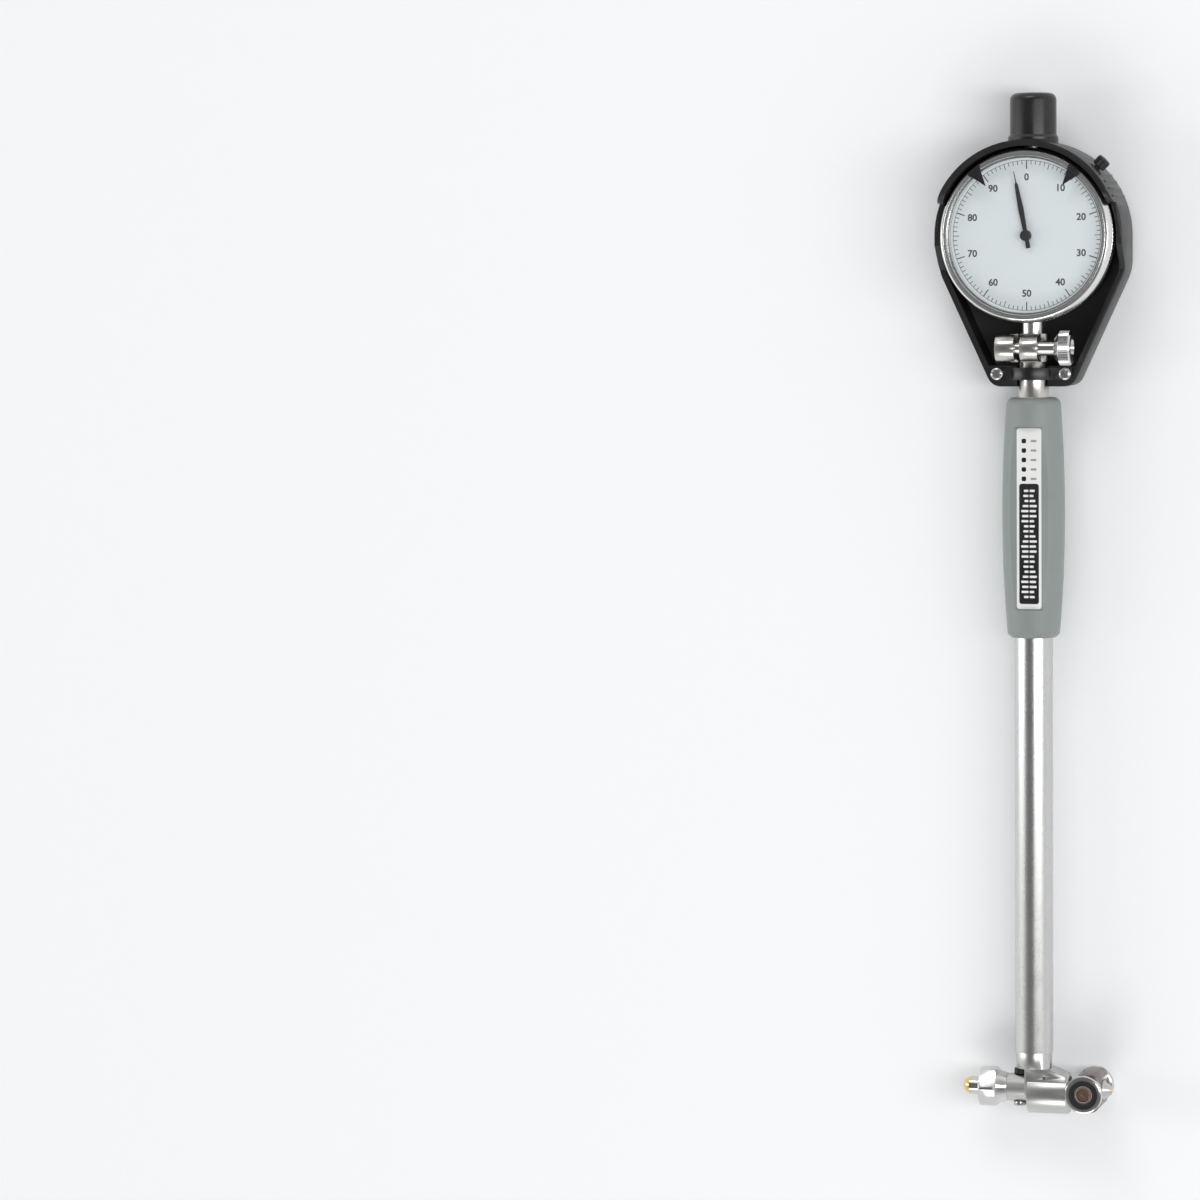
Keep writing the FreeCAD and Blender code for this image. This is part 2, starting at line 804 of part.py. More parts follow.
def coil(radius, wire, length, turns, x, y, z, axis):
    """A helical spring, mitred from short straight lengths of flat-sided wire, from a point along an axis."""
    steps_in_turn, sides = int(s.coil_steps.number), int(s.wire_sides.number)
    steps = int(turns.number) * steps_in_turn
    spine = []
    for step in range(steps + 1):
        angle = 2 * math.pi * step / steps_in_turn
        rise = wire.number + (length.number - 2 * wire.number) * step / steps
        spine.append(Vector(radius.number * math.cos(angle), radius.number * math.sin(angle), rise))
    chords = [(end - start).normalize() for start, end in zip(spine, spine[1:])]
    outward = (Vector(1, 0, 0) - chords[0] * chords[0].x).normalize()
    upward = chords[0].cross(outward)
    ring = []
    for side in range(sides):
        angle = 2 * math.pi * side / sides
        ring.append(spine[0] + (outward * math.cos(angle) + upward * math.sin(angle)) * wire.number)
    faces = [Part.Face(Part.makePolygon(ring + ring[:1]))]
    for chord, following, corner in zip(chords, chords[1:] + chords[-1:], spine[1:]):
        mitre = (chord + following).normalize()
        next_ring = [point + chord * ((corner - point).dot(mitre) / chord.dot(mitre)) for point in ring]
        for side in range(sides):
            after = (side + 1) % sides
            faces.append(Part.Face(Part.makePolygon(
                [ring[side], ring[after], next_ring[after], next_ring[side], ring[side]])))
        ring = next_ring
    faces.append(Part.Face(Part.makePolygon(ring + ring[:1])))
    item = doc.addObject("Part::Feature", "Coil")
    item.Shape = Part.Solid(Part.Shell(faces))
    return place(item, x, y, z, ALONG[axis])


# cover of the indicator

def cover_outline(inset, foot):
    """The cover's outline moved inwards, closed by a straight foot some way above its bottom."""
    radius = cover_radius - inset
    corner_y = -s.cover_side + inset * tangent(s.cover_taper / 2)
    foot_y = foot - s.cover_bottom
    foot_x = radius - (corner_y - foot_y) * tangent(s.cover_taper)
    return [
        (-radius, zero, -radius), (zero, radius, -radius), (radius, zero),
        (radius, corner_y), (foot_x, foot_y), (-foot_x, foot_y), (-radius, corner_y),
    ]


def make_cover():
    body = new_body("cover")
    outer = sketch_on(body, "XY_Plane")
    draw(outer, cover_outline(zero, zero))
    pad(body, outer, s.cover_front)
    upright = lambda edge: len(edge.Vertexes) == 2 and abs(edge.tangentAt(edge.FirstParameter).z) > 0.99
    bend_y = -s.cover_side.number
    foot_y = -s.cover_bottom.number
    blend_edges(body, "Fillet", s.cover_bend,
                lambda e: upright(e) and abs(e.Vertexes[0].Y - bend_y) < 0.01)
    blend_edges(body, "Fillet", s.cover_corner,
                lambda e: upright(e) and abs(e.Vertexes[0].Y - foot_y) < 0.01)
    # Hood round the upper half of the dial
    hood = sketch_on(body, "XY_Plane", s.cover_front)
    inner_radius = cover_radius - s.cover_wall
    across, up = cosine(s.hood_start), sine(s.hood_start)
    draw(hood, [
        (cover_radius * across, cover_radius * up, cover_radius),
        (zero, cover_radius, cover_radius),
        (-cover_radius * across, cover_radius * up),
        (-inner_radius * across, inner_radius * up, -inner_radius),
        (zero, inner_radius, -inner_radius),
        (inner_radius * across, inner_radius * up),
    ])
    pad(body, hood, s.hood_front - s.cover_front)
    hood_top = s.hood_front.number
    end_height = (cover_radius * up).number
    blend_edges(body, "Fillet", s.hood_end_round,
                lambda e: (abs(e.CenterOfMass.z - hood_top) < 0.01 and e.CenterOfMass.y < end_height + 0.1
                           and e.Length < s.cover_wall.number + 0.1))
    # Round the back edge of the shell
    blend_edges(body, "Chamfer", s.cover_edge,
                lambda e: all(abs(v.Z) < 0.01 for v in e.Vertexes) and abs(e.CenterOfMass.z) < 0.01)
    # Hollow for the indicator, down to the back and to the foot that carries the holder
    inner = sketch_on(body, "XY_Plane", s.cover_back)
    draw(inner, cover_outline(s.cover_wall, s.cover_foot))
    pocket(body, inner, s.hood_front, towards_front=True)
    inner_bend = bend_y + (s.cover_wall * tangent(s.cover_taper / 2)).number
    blend_edges(body, "Fillet", s.cover_bend - s.cover_wall,
                lambda e: upright(e) and abs(e.Vertexes[0].Y - inner_bend) < 0.01
                and abs(abs(e.Vertexes[0].X) - inner_radius.number) < 0.01)
    # The front is cut low below the dial, with a slope at each side
    side = sketch_on(body, "YZ_Plane")
    above = s.hood_front + 1
    beyond = -(s.cover_bottom + 1)
    draw(side, [
        (-s.cover_ramp_top, above), (-s.cover_ramp_top, s.cover_front),
        (-s.cover_ramp_bottom, s.cover_low_front), (beyond, s.cover_low_front), (beyond, above),
    ])
    pocket(body, side, 3 * cover_radius, "Symmetric")
    # U-shaped seat for the holder in the foot
    seat = sketch_on(body, "XZ_Plane", s.cover_bottom - s.cover_foot - 1)
    groove = s.sleeve_radius + s.seat_gap
    draw(seat, [
        (-groove, s.axis_height, groove), (zero, s.axis_height - groove, groove), (groove, s.axis_height),
        (groove, s.cover_front), (-groove, s.cover_front),
    ])
    pocket(body, seat, s.cover_foot + 2, towards_front=True)
    # Screw holes in the foot
    for direction in (-1, 1):
        hole_along(body, direction * s.strap_screw_offset, -s.strap_place,
                   s.cover_low_front - s.strap_screw_length, Rotation(),
                   s.strap_screw_thread / 2 + s.seat_gap, s.strap_screw_length + 1)
    # Flat seat of the top cap, and the hole behind it
    hole_along(body, zero, cover_radius - s.cover_wall, s.axis_height, ALONG["Y"],
               s.cap_seat_radius, s.cover_wall + s.cap_seat_rise, "Additive")
    hole_along(body, zero, cover_radius - 2 * s.cover_wall, s.axis_height, ALONG["Y"],
               s.top_bush_radius + s.free_gap, 3 * s.cover_wall)
    # Hole for the bezel lock screw
    lock_x, lock_y = cosine(s.lock_angle), sine(s.lock_angle)
    lock_from = cover_radius - 2 * s.cover_wall
    hole_along(body, lock_from * lock_x, lock_from * lock_y, s.axis_height + s.lock_height,
               Rotation(Vector(-1, 1, 0), 90), s.lock_thread_radius + 2 * s.free_gap, 3 * s.cover_wall)
    # Finger ribs on both shoulders of the hood
    ribs = []
    rib_circle = cover_radius - s.rib_sink
    for first in (s.rib_first, 180 - s.rib_first - s.rib_span):
        ribs.append(hole_along(body, rib_circle * cosine(first), rib_circle * sine(first), s.cover_edge * 2,
                               Rotation(), s.rib_radius, s.hood_front - s.cover_edge * 2 - s.hood_end_round,
                               "Additive"))
    pattern = body.newObject("PartDesign::PolarPattern", "CoverRibs")
    pattern.Originals = ribs
    pattern.Axis = (outer, ["N_Axis"])
    pattern.Angle = s.rib_span.number
    bind(pattern, "Angle", s.rib_span)
    pattern.Occurrences = int(s.rib_count.number)
    bind(pattern, "Occurrences", s.rib_count)
    body.Tip = pattern
    node(body, "cover")


def make_strap():
    low, high = -(s.strap_place + s.strap_length / 2), -(s.strap_place - s.strap_length / 2)
    base = s.cover_low_front
    arch = s.sleeve_radius + s.seat_gap + s.strap_arch
    solid = fuse(
        block((-s.strap_half_width, low, base), (s.strap_half_width, high, base + s.strap_plate)),
        rod("Y", low, high, arch, (zero, s.axis_height)),
    )
    holes = [rod("Z", base - 1, base + s.strap_plate + 1, s.strap_screw_thread / 2 + s.free_gap,
                 (side * s.strap_screw_offset, -s.strap_place)) for side in (-1, 1)]
    node(cut(solid,
             block((-s.strap_half_width, low - 1, zero), (s.strap_half_width, high + 1, base)),
             rod("Y", low - 1, high + 1, s.sleeve_radius + s.seat_gap, (zero, s.axis_height)),
             *holes), "cover_strap")
    screws = []
    for side in (-1, 1):
        across = (side * s.strap_screw_offset, -s.strap_place)
        head = base + s.strap_plate
        screws.append(fuse(
            rod("Z", head, head + s.strap_screw_head_height, s.strap_screw_head / 2, across),
            rod("Z", base - s.strap_screw_length + s.free_gap, head, s.strap_screw_thread / 2, across),
        ))
    node(group(*screws), "cover_screws")


def make_top_cap():
    bore = s.top_bush_radius + s.press_gap
    turned("top_cap", [
        (zero, bore), (zero, s.cap_base_radius),
        (s.cap_foot / 2, s.cap_base_radius), (s.cap_foot, s.cap_radius),
        (s.cap_height - s.cap_round, s.cap_radius, -s.cap_round),
        (s.cap_height, s.cap_radius - s.cap_round), (s.cap_height, zero),
        (s.cap_height - s.cap_roof, zero), (s.cap_height - s.cap_roof, bore),
    ], y=cover_radius + s.cap_seat_rise, z=s.axis_height, towards="+Y")


# indicator case

def make_case():
    wall = fuse(
        cut(rod("Z", -s.case_back, s.case_front, s.case_radius),
            rod("Z", -s.case_back - 1, s.case_front + 1, case_bore)),
        cut(rod("Z", s.case_front - s.case_flange, s.case_front, case_bore),
            rod("Z", s.case_front - s.case_flange - 1, s.case_front + 1, case_bore - s.case_flange_width)),
    )
    lock_hole = doc.addObject("Part::Cylinder", "Rod")
    bind(lock_hole, "Radius", s.lock_thread_radius + s.running_gap)
    bind(lock_hole, "Height", 2 * s.case_wall)
    lock_from = case_bore - s.case_wall / 2
    place(lock_hole, lock_from * cosine(s.lock_angle), lock_from * sine(s.lock_angle), s.lock_height,
          Rotation(Vector(-1, 1, 0), 90))
    node(in_dial(cut(
        wall,
        rod("Y", -s.case_radius - 1, -case_bore + 1, s.stem_radius + s.press_gap),
        rod("Y", case_bore - 1, s.case_radius + 1, s.top_bush_radius + s.press_gap),
        lock_hole,
    )), "indicator_case")
    turned("stem", [
        (zero, s.spindle_radius + s.running_gap), (zero, s.stem_radius),
        (s.stem_length + s.stem_inset, s.stem_radius),
        (s.stem_length + s.stem_inset, s.spindle_radius + s.running_gap),
    ], y=-(s.case_radius - s.stem_inset), z=s.axis_height, towards="-Y")
    bush_start = s.case_radius - s.stem_inset
    turned("top_bush", [
        (zero, s.spindle_radius + s.running_gap), (zero, s.top_bush_radius),
        (top_bush_end - bush_start, s.top_bush_radius),
        (top_bush_end - bush_start, s.spindle_radius + s.running_gap),
    ], y=bush_start, z=s.axis_height, towards="+Y")


def screw_circle():
    """Places of the four case back screws."""
    step = (s.case_radius - s.back_screw_inset) * cosine(s.back_screw_angle)
    return [(x * step, y * step) for x in (-1, 1) for y in (-1, 1)]


def make_case_back():
    outer = -s.case_back - s.case_back_thickness
    holes = [rod("Z", outer - 1, -s.case_back + 1, s.back_screw_thread + s.press_gap, spot)
             for spot in screw_circle()]
    node(in_dial(cut(rod("Z", outer, -s.case_back, s.case_radius), *holes)), "case_back")
    screws = [fuse(rod("Z", outer - s.back_screw_head, outer, s.back_screw_radius, spot),
                   rod("Z", outer, -s.case_back + s.plate_thickness, s.back_screw_thread, spot))
              for spot in screw_circle()]
    node(in_dial(group(*screws)), "case_back_screws")


# bezel, crystal, dial and markers

def make_bezel():
    inside = s.case_radius + s.seat_gap
    ledge = s.case_front + s.seat_gap
    ledge_top = ledge + s.ledge_thickness
    seat = dial_radius + s.running_gap
    glass = crystal_radius + s.running_gap
    groove_out = groove_radius + s.groove_width
    start = s.bezel_bottom
    turned("bezel", [
        (zero, inside),
        (zero, bezel_radius - s.bezel_edge),
        (s.bezel_edge, bezel_radius),
        (s.bezel_shoulder - start, bezel_radius),
        (s.bezel_lip - start, bezel_lip_radius),
        (s.bezel_lip - start, groove_out),
        (s.bezel_lip - s.groove_depth - start, groove_out),
        (s.bezel_lip - s.groove_depth - start, groove_radius),
        (s.bezel_lip - start, groove_radius),
        (s.bezel_lip - start, glass),
        (s.crystal_seat - start, glass),
        (s.crystal_seat - start, seat),
        (ledge_top - start, seat),
        (ledge_top - start, bezel_radius - s.ledge_inset),
        (ledge - start, bezel_radius - s.ledge_inset),
        (ledge - start, inside),
    ], z=s.axis_height + start, towards="+Z")
    turned("crystal", [
        (zero, zero), (zero, crystal_radius),
        (s.crystal_thickness, crystal_radius), (s.crystal_thickness, zero),
    ], z=s.axis_height + s.crystal_seat, towards="+Z")
    turned("dial_face", [
        (zero, s.dial_hole_radius), (zero, dial_radius),
        (s.dial_thickness, dial_radius), (s.dial_thickness, s.dial_hole_radius),
    ], z=s.axis_height + ledge_top, towards="+Z")


def make_marker(label, angle):
    """Limit marker: a pointed blade over the dial's edge on a foot that runs in the bezel's groove."""
    body = new_body(label)
    half = s.marker_half_angle
    foot_in = groove_radius + s.running_gap
    foot_out = groove_radius + s.groove_width - s.running_gap
    outer = bezel_lip_radius
    side_x, side_y = sine(half), cosine(half)
    blade = sketch_on(body, "XY_Plane", s.seat_gap)
    draw(blade, [
        (zero, bezel_radius - s.marker_tip_inset),
        (s.marker_half_width, bezel_radius - s.marker_waist_inset),
        (foot_in * side_x, foot_in * side_y),
        (outer * side_x, outer * side_y, outer),
        (-outer * side_x, outer * side_y),
        (-foot_in * side_x, foot_in * side_y),
        (-s.marker_half_width, bezel_radius - s.marker_waist_inset),
    ])
    pad(body, blade, s.marker_thickness)
    foot = sketch_on(body, "XY_Plane", s.seat_gap)
    draw(foot, [
        (foot_in * side_x, foot_in * side_y), (foot_out * side_x, foot_out * side_y, foot_out),
        (-foot_out * side_x, foot_out * side_y), (-foot_in * side_x, foot_in * side_y, -foot_in),
    ])
    pad(body, foot, s.groove_depth, towards_back=True)
    place(body, zero, zero, s.axis_height + s.bezel_lip)
    turn_about_dial(body, angle)
    node(body, label)


def make_bezel_lock():
    start = s.case_radius - s.case_wall + s.free_gap
    knob = cover_radius + s.rib_radius - start
    collar = s.case_radius + s.free_gap - start
    turned("bezel_lock_screw", [
        (zero, zero), (zero, s.lock_thread_radius),
        (collar, s.lock_thread_radius), (collar, s.lock_collar_radius),
        (collar + s.lock_collar_length, s.lock_collar_radius),
        (collar + s.lock_collar_length, s.lock_thread_radius),
        (knob, s.lock_thread_radius), (knob, s.lock_knob_radius),
        (knob + s.lock_knob_length - s.bezel_edge, s.lock_knob_radius),
        (knob + s.lock_knob_length, s.lock_knob_radius - s.bezel_edge),
        (knob + s.lock_knob_length, zero),
    ], start * cosine(s.lock_angle), start * sine(s.lock_angle), s.axis_height + s.lock_height,
        Rotation(Vector(0, 0, 1), s.lock_angle.number))


# movement

def toothed(label, teeth, pitch_radius, thickness, bore, low, high, aim, x, y):
    """A gear cut as a flat outline; aim is the direction, in degrees, that the middle of a tooth faces."""
    tip = pitch_radius + s.tooth_rise_share.number * thickness
    floor = pitch_radius - thickness
    half_pitch = thickness / pitch_radius / 2
    half_tip = s.tooth_top_share.number * thickness / tip
    half_floor = s.tooth_root_share.number * thickness / floor
    points = []
    for tooth in range(teeth):
        middle = math.radians(aim) + 2 * math.pi * tooth / teeth
        for radius, turn in ((floor, -half_floor), (pitch_radius, -half_pitch), (tip, -half_tip),
                             (tip, half_tip), (pitch_radius, half_pitch), (floor, half_floor)):
            points.append(Vector(radius * math.cos(middle + turn), radius * math.sin(middle + turn), low))
    points.append(points[0])
    gear = Part.Face(Part.makePolygon(points)).extrude(Vector(0, 0, high - low))
    gear = gear.cut(Part.makeCylinder(bore, high - low, Vector(0, 0, low)))
    item = doc.addObject("Part::Feature", label)
    item.Shape = gear
    return place(item, x, y, s.axis_height)


def make_movement():
    base_low = -s.case_back
    base_high = base_low + s.plate_thickness
    top_low = s.top_plate_height
    top_high = top_low + s.top_plate_thickness
    pinion_radius = s.rack_pinion_teeth * s.rack_pitch / (2 * math.pi)
    wheel_radius = s.train_module * s.wheel_teeth / 2
    centre_radius = s.train_module * s.centre_pinion_teeth / 2
    rack_line = s.rack_flat - s.rack_depth * s.rack_line_share
    arbor_x = rack_line + pinion_radius + s.mesh_slack
    reach = wheel_radius + centre_radius + s.mesh_slack
    arbor_y = root(reach * reach - arbor_x * arbor_x)
    wheel_spots = ((-arbor_x, -arbor_y), (arbor_x, arbor_y))
    pillar_spots = [(s.pillar_x, s.pillar_y), (-s.pillar_x, -s.pillar_y),
                    (-s.corner_pillar_x, s.pillar_x), (s.corner_pillar_x, -s.pillar_x)]

    pivot_holes = [rod("Z", base_low - 1, base_high + 1, s.pivot_radius + s.seat_gap, spot)
                   for spot in wheel_spots]
    screw_holes = [rod("Z", base_low - 1, base_high + 1, s.back_screw_thread + s.press_gap, spot)
                   for spot in screw_circle()]
    node(in_dial(cut(rod("Z", base_low, base_high, case_bore - s.seat_gap), *pivot_holes, *screw_holes)),
         "movement_plate")
    top_holes = [rod("Z", top_low - 1, top_high + 1, s.pivot_radius + s.seat_gap, spot)
                 for spot in wheel_spots]
    centre_hole = rod("Z", top_low - 1, top_high + 1, s.centre_arbor_radius + s.seat_gap)
    node(in_dial(cut(rod("Z", top_low, top_high, s.case_radius - s.top_plate_inset), centre_hole, *top_holes)),
         "movement_bridge")
    node(in_dial(group(*[rod("Z", base_high, top_low, s.pillar_radius, spot) for spot in pillar_spots])),
         "movement_pillars")

    # Spindle with its rack on the -X side
    body = new_body("spindle")
    start, end = stem_end - s.spindle_overhang, s.case_radius + s.spindle_rise
    sketch = sketch_on(body, "XY_Plane")
    draw(sketch, [(zero, zero), (zero, s.spindle_radius), (end - start, s.spindle_radius), (end - start, zero)])
    revolve(body, sketch)
    first_gap = -arbor_y - s.rack_gaps_below * s.rack_pitch
    rack_low = first_gap - s.rack_pitch
    rack_length = (s.rack_gaps + 1) * s.rack_pitch
    flat = body.newObject("PartDesign::SubtractiveBox", "RackFlat")
    bind(flat, "Length", rack_length)
    bind(flat, "Width", s.spindle_radius)
    bind(flat, "Height", 2 * s.spindle_radius)
    place(flat, rack_low - start, s.rack_flat, -s.spindle_radius)
    gap = sketch_on(body, "XY_Plane", -s.spindle_radius)
    middle = first_gap - start
    mouth, floor = s.rack_pitch * s.rack_mouth_share, s.rack_pitch * s.rack_floor_share
    draw(gap, [
        (middle - mouth, s.rack_flat + s.free_gap), (middle - mouth, s.rack_flat),
        (middle - floor, s.rack_flat - s.rack_depth), (middle + floor, s.rack_flat - s.rack_depth),
        (middle + mouth, s.rack_flat), (middle + mouth, s.rack_flat + s.free_gap),
    ])
    tooth_gap = pocket(body, gap, 2 * s.spindle_radius, towards_front=True)
    pattern = body.newObject("PartDesign::LinearPattern", "RackTeeth")
    pattern.Originals = [tooth_gap]
    pattern.Direction = (gap, ["H_Axis"])
    pattern.Length = ((s.rack_gaps - 1) * s.rack_pitch).number
    bind(pattern, "Length", (s.rack_gaps - 1) * s.rack_pitch)
    pattern.Occurrences = int(s.rack_gaps.number)
    bind(pattern, "Occurrences", s.rack_gaps)
    body.Tip = pattern
    hole_along(body, cross_pin_y - start, -s.spindle_radius - 1, zero, ALONG["Y"],
               s.cross_pin_radius + s.press_gap, 2 * s.spindle_radius + 2)
    place(body, zero, start, s.axis_height, TOWARDS["+Y"])
    node(body, "spindle")

    node(in_dial(group(rod("X", -s.spindle_radius, s.cross_pin_end, s.cross_pin_radius,
                           (cross_pin_y, zero)))), "spindle_pin")
    turned("contact_point", [
        (zero, zero), (zero, s.point_radius),
        (s.point_length - s.point_ball * 2, s.point_radius),
        (s.point_length - s.point_ball, s.point_ball, -s.point_ball),
        (s.point_length, zero),
    ], y=start, z=s.axis_height, towards="-Y")
    slot_high = s.cross_pin_radius + s.seat_gap
    rail = block((s.guide_rail_x, cross_pin_y - s.guide_rail_half_length, base_high),
                 (s.guide_rail_x + s.guide_rail_width, cross_pin_y + s.guide_rail_half_length,
                  s.guide_rail_top))
    node(in_dial(cut(rail, block(
        (s.guide_rail_x - 1, cross_pin_y - 2 * s.cross_pin_radius, -slot_high),
        (s.guide_rail_x + s.guide_rail_width + 1,
         cross_pin_y + 2 * s.cross_pin_radius + s.spindle_travel, slot_high)))), "spindle_guide")
    post_across = (s.return_spring_x, -return_post_y)
    stud_x = arbor_x + s.hairspring_outer + s.hairspring_strip + s.seat_gap + s.pivot_radius
    node(in_dial(group(
        rod("Z", base_high, s.return_spring_radius, s.cross_pin_radius, post_across),
        rod("Z", s.hairspring_height, top_low, s.pivot_radius, (stud_x, arbor_y)),
    )), "spring_posts")
    spring_low = -return_post_y + s.cross_pin_radius + s.seat_gap
    spring_high = cross_pin_y - s.cross_pin_radius - s.seat_gap
    node(coil(s.return_spring_radius, s.return_spring_wire, spring_high - spring_low,
              s.return_spring_turns, s.return_spring_x, spring_low, s.axis_height, "Y"), "return_spring")

    # Gear train: rack pinion and its wheel, centre pinion, take-up wheel
    tooth = s.rack_pitch.number * s.tooth_share.number
    small_tooth = s.train_module.number * math.pi * s.tooth_share.number
    rack_x, rack_y = -arbor_x, -arbor_y
    towards_centre = math.degrees(math.atan2(arbor_y.number, arbor_x.number))
    post = [(zero, zero), (zero, s.pivot_radius), (s.plate_thickness, s.pivot_radius),
            (s.plate_thickness, s.arbor_radius)]
    arbor_length = top_high - base_low - s.seat_gap * 2
    post += [(arbor_length - s.top_plate_thickness, s.arbor_radius),
             (arbor_length - s.top_plate_thickness, s.pivot_radius),
             (arbor_length, s.pivot_radius), (arbor_length, zero)]
    for label, x, y in (("rack_arbor", rack_x, rack_y), ("take_up_arbor", arbor_x, arbor_y)):
        turned(label, post, x, y, s.axis_height + base_low + s.seat_gap, "+Z")
    half_width = s.rack_pinion_width.number / 2
    node(toothed("RackPinion", int(s.rack_pinion_teeth.number), pinion_radius.number, tooth,
                 (s.arbor_radius + s.press_gap).number, -half_width, half_width, 0.0, rack_x, rack_y),
         "rack_pinion")
    wheel_low = s.wheel_height.number
    wheel_high = wheel_low + s.wheel_thickness.number
    for label, x, y, aim in (("rack_wheel", rack_x, rack_y, towards_centre),
                             ("take_up_wheel", arbor_x, arbor_y, towards_centre + 180)):
        node(toothed(label.title().replace("_", ""), int(s.wheel_teeth.number), wheel_radius.number,
                     small_tooth, (s.arbor_radius + s.press_gap).number, wheel_low, wheel_high,
                     aim, x, y), label)
    low = s.centre_pinion_height.number
    half_step = 180 / s.centre_pinion_teeth.number
    node(toothed("CentrePinion", int(s.centre_pinion_teeth.number), centre_radius.number, small_tooth,
                 (s.centre_arbor_radius + s.press_gap).number, low, low + s.centre_pinion_width.number,
                 towards_centre + half_step, zero, zero), "centre_pinion")
    cock_top = s.cock_height + s.cock_thickness
    hub_top = s.pointer_height + s.pointer_hub_height
    pivot_low = s.cock_height + s.seat_gap * 2
    turned("centre_arbor", [
        (zero, zero), (zero, s.pivot_radius), (cock_top - pivot_low, s.pivot_radius),
        (cock_top - pivot_low, s.centre_arbor_radius),
        (hub_top - pivot_low - s.pointer_thickness, s.centre_arbor_radius),
        (hub_top - pivot_low - s.pointer_thickness, zero),
    ], z=s.axis_height + pivot_low, towards="+Z")
    leg_in = s.cock_half_length - s.cock_leg
    cock = fuse(
        block((-s.cock_half_length, -s.cock_half_width, s.cock_height),
              (s.cock_half_length, s.cock_half_width, cock_top)),
        block((-s.cock_half_length, -s.cock_half_width, base_high),
              (-leg_in, s.cock_half_width, s.cock_height)),
        block((leg_in, -s.cock_half_width, base_high),
              (s.cock_half_length, s.cock_half_width, s.cock_height)),
    )
    node(in_dial(cut(cock, rod("Z", s.cock_height - 1, cock_top + 1, s.pivot_radius + s.seat_gap))),
         "centre_cock")
    make_hairspring(arbor_x, arbor_y)


def make_hairspring(x, y):
    """Flat spiral that takes up the backlash of the train."""
    inner, outer = s.hairspring_inner.number, s.hairspring_outer.number
    turns, strip = int(s.hairspring_turns.number), s.hairspring_strip.number
    low = s.hairspring_height.number
    steps = turns * int(s.hairspring_steps.number)
    inside, outside = [], []
    for step in range(steps + 1):
        angle = 2 * math.pi * turns * step / steps
        radius = inner + (outer - inner) * step / steps
        direction = Vector(math.cos(angle), math.sin(angle), 0)
        inside.append(direction * radius + Vector(0, 0, low))
        outside.append(direction * (radius + strip) + Vector(0, 0, low))
    face = Part.Face(Part.makePolygon(inside + outside[::-1] + inside[:1]))
    spiral = doc.addObject("Part::Feature", "Hairspring")
    spiral.Shape = face.extrude(Vector(0, 0, s.hairspring_width.number))
    node(place(spiral, x, y, s.axis_height), "hairspring")


def make_pointer():
    body = new_body("pointer")
    needle = sketch_on(body, "XY_Plane")
    root_half = s.pointer_half_width * s.pointer_root_share
    shoulder_half = s.pointer_half_width * s.pointer_shoulder_share
    tail_half = s.pointer_half_width * s.pointer_tail_share
    tip_half = s.pointer_tip_half_width
    length = dial_radius - s.pointer_tip_inset
    shoulder = dial_radius - s.pointer_shoulder_inset
    draw(needle, [
        (root_half, zero), (s.pointer_half_width, s.pointer_belly), (shoulder_half, shoulder),
        (tip_half, shoulder + s.pointer_half_width), (tip_half / 2, length),
        (-tip_half / 2, length), (-tip_half, shoulder + s.pointer_half_width),
        (-shoulder_half, shoulder), (-s.pointer_half_width, s.pointer_belly), (-root_half, zero),
        (-tail_half, -s.pointer_tail), (tail_half, -s.pointer_tail),
    ])
    pad(body, needle, s.pointer_thickness)
    hole_along(body, zero, zero, zero, Rotation(), s.pointer_hub_radius, s.pointer_thickness, "Additive")
    hole_along(body, zero, zero, -1, Rotation(), s.pointer_boss_radius + s.press_gap,
               s.pointer_thickness + 2)
    place(body, zero, zero, s.axis_height + s.pointer_height)
    turn_about_dial(body, s.pointer_angle)
    node(body, "pointer")
    sink = s.pointer_thickness
    turned("pointer_hub", [
        (zero, s.centre_arbor_radius + s.press_gap), (zero, s.pointer_boss_radius),
        (2 * sink, s.pointer_boss_radius), (2 * sink, s.pointer_hub_radius),
        (s.pointer_hub_height + sink, s.pointer_hub_radius), (s.pointer_hub_height + sink, zero),
        (s.pointer_hub_height, zero), (s.pointer_hub_height, s.centre_arbor_radius + s.press_gap),
    ], z=s.axis_height + s.pointer_height - sink, towards="+Z")


# measuring head

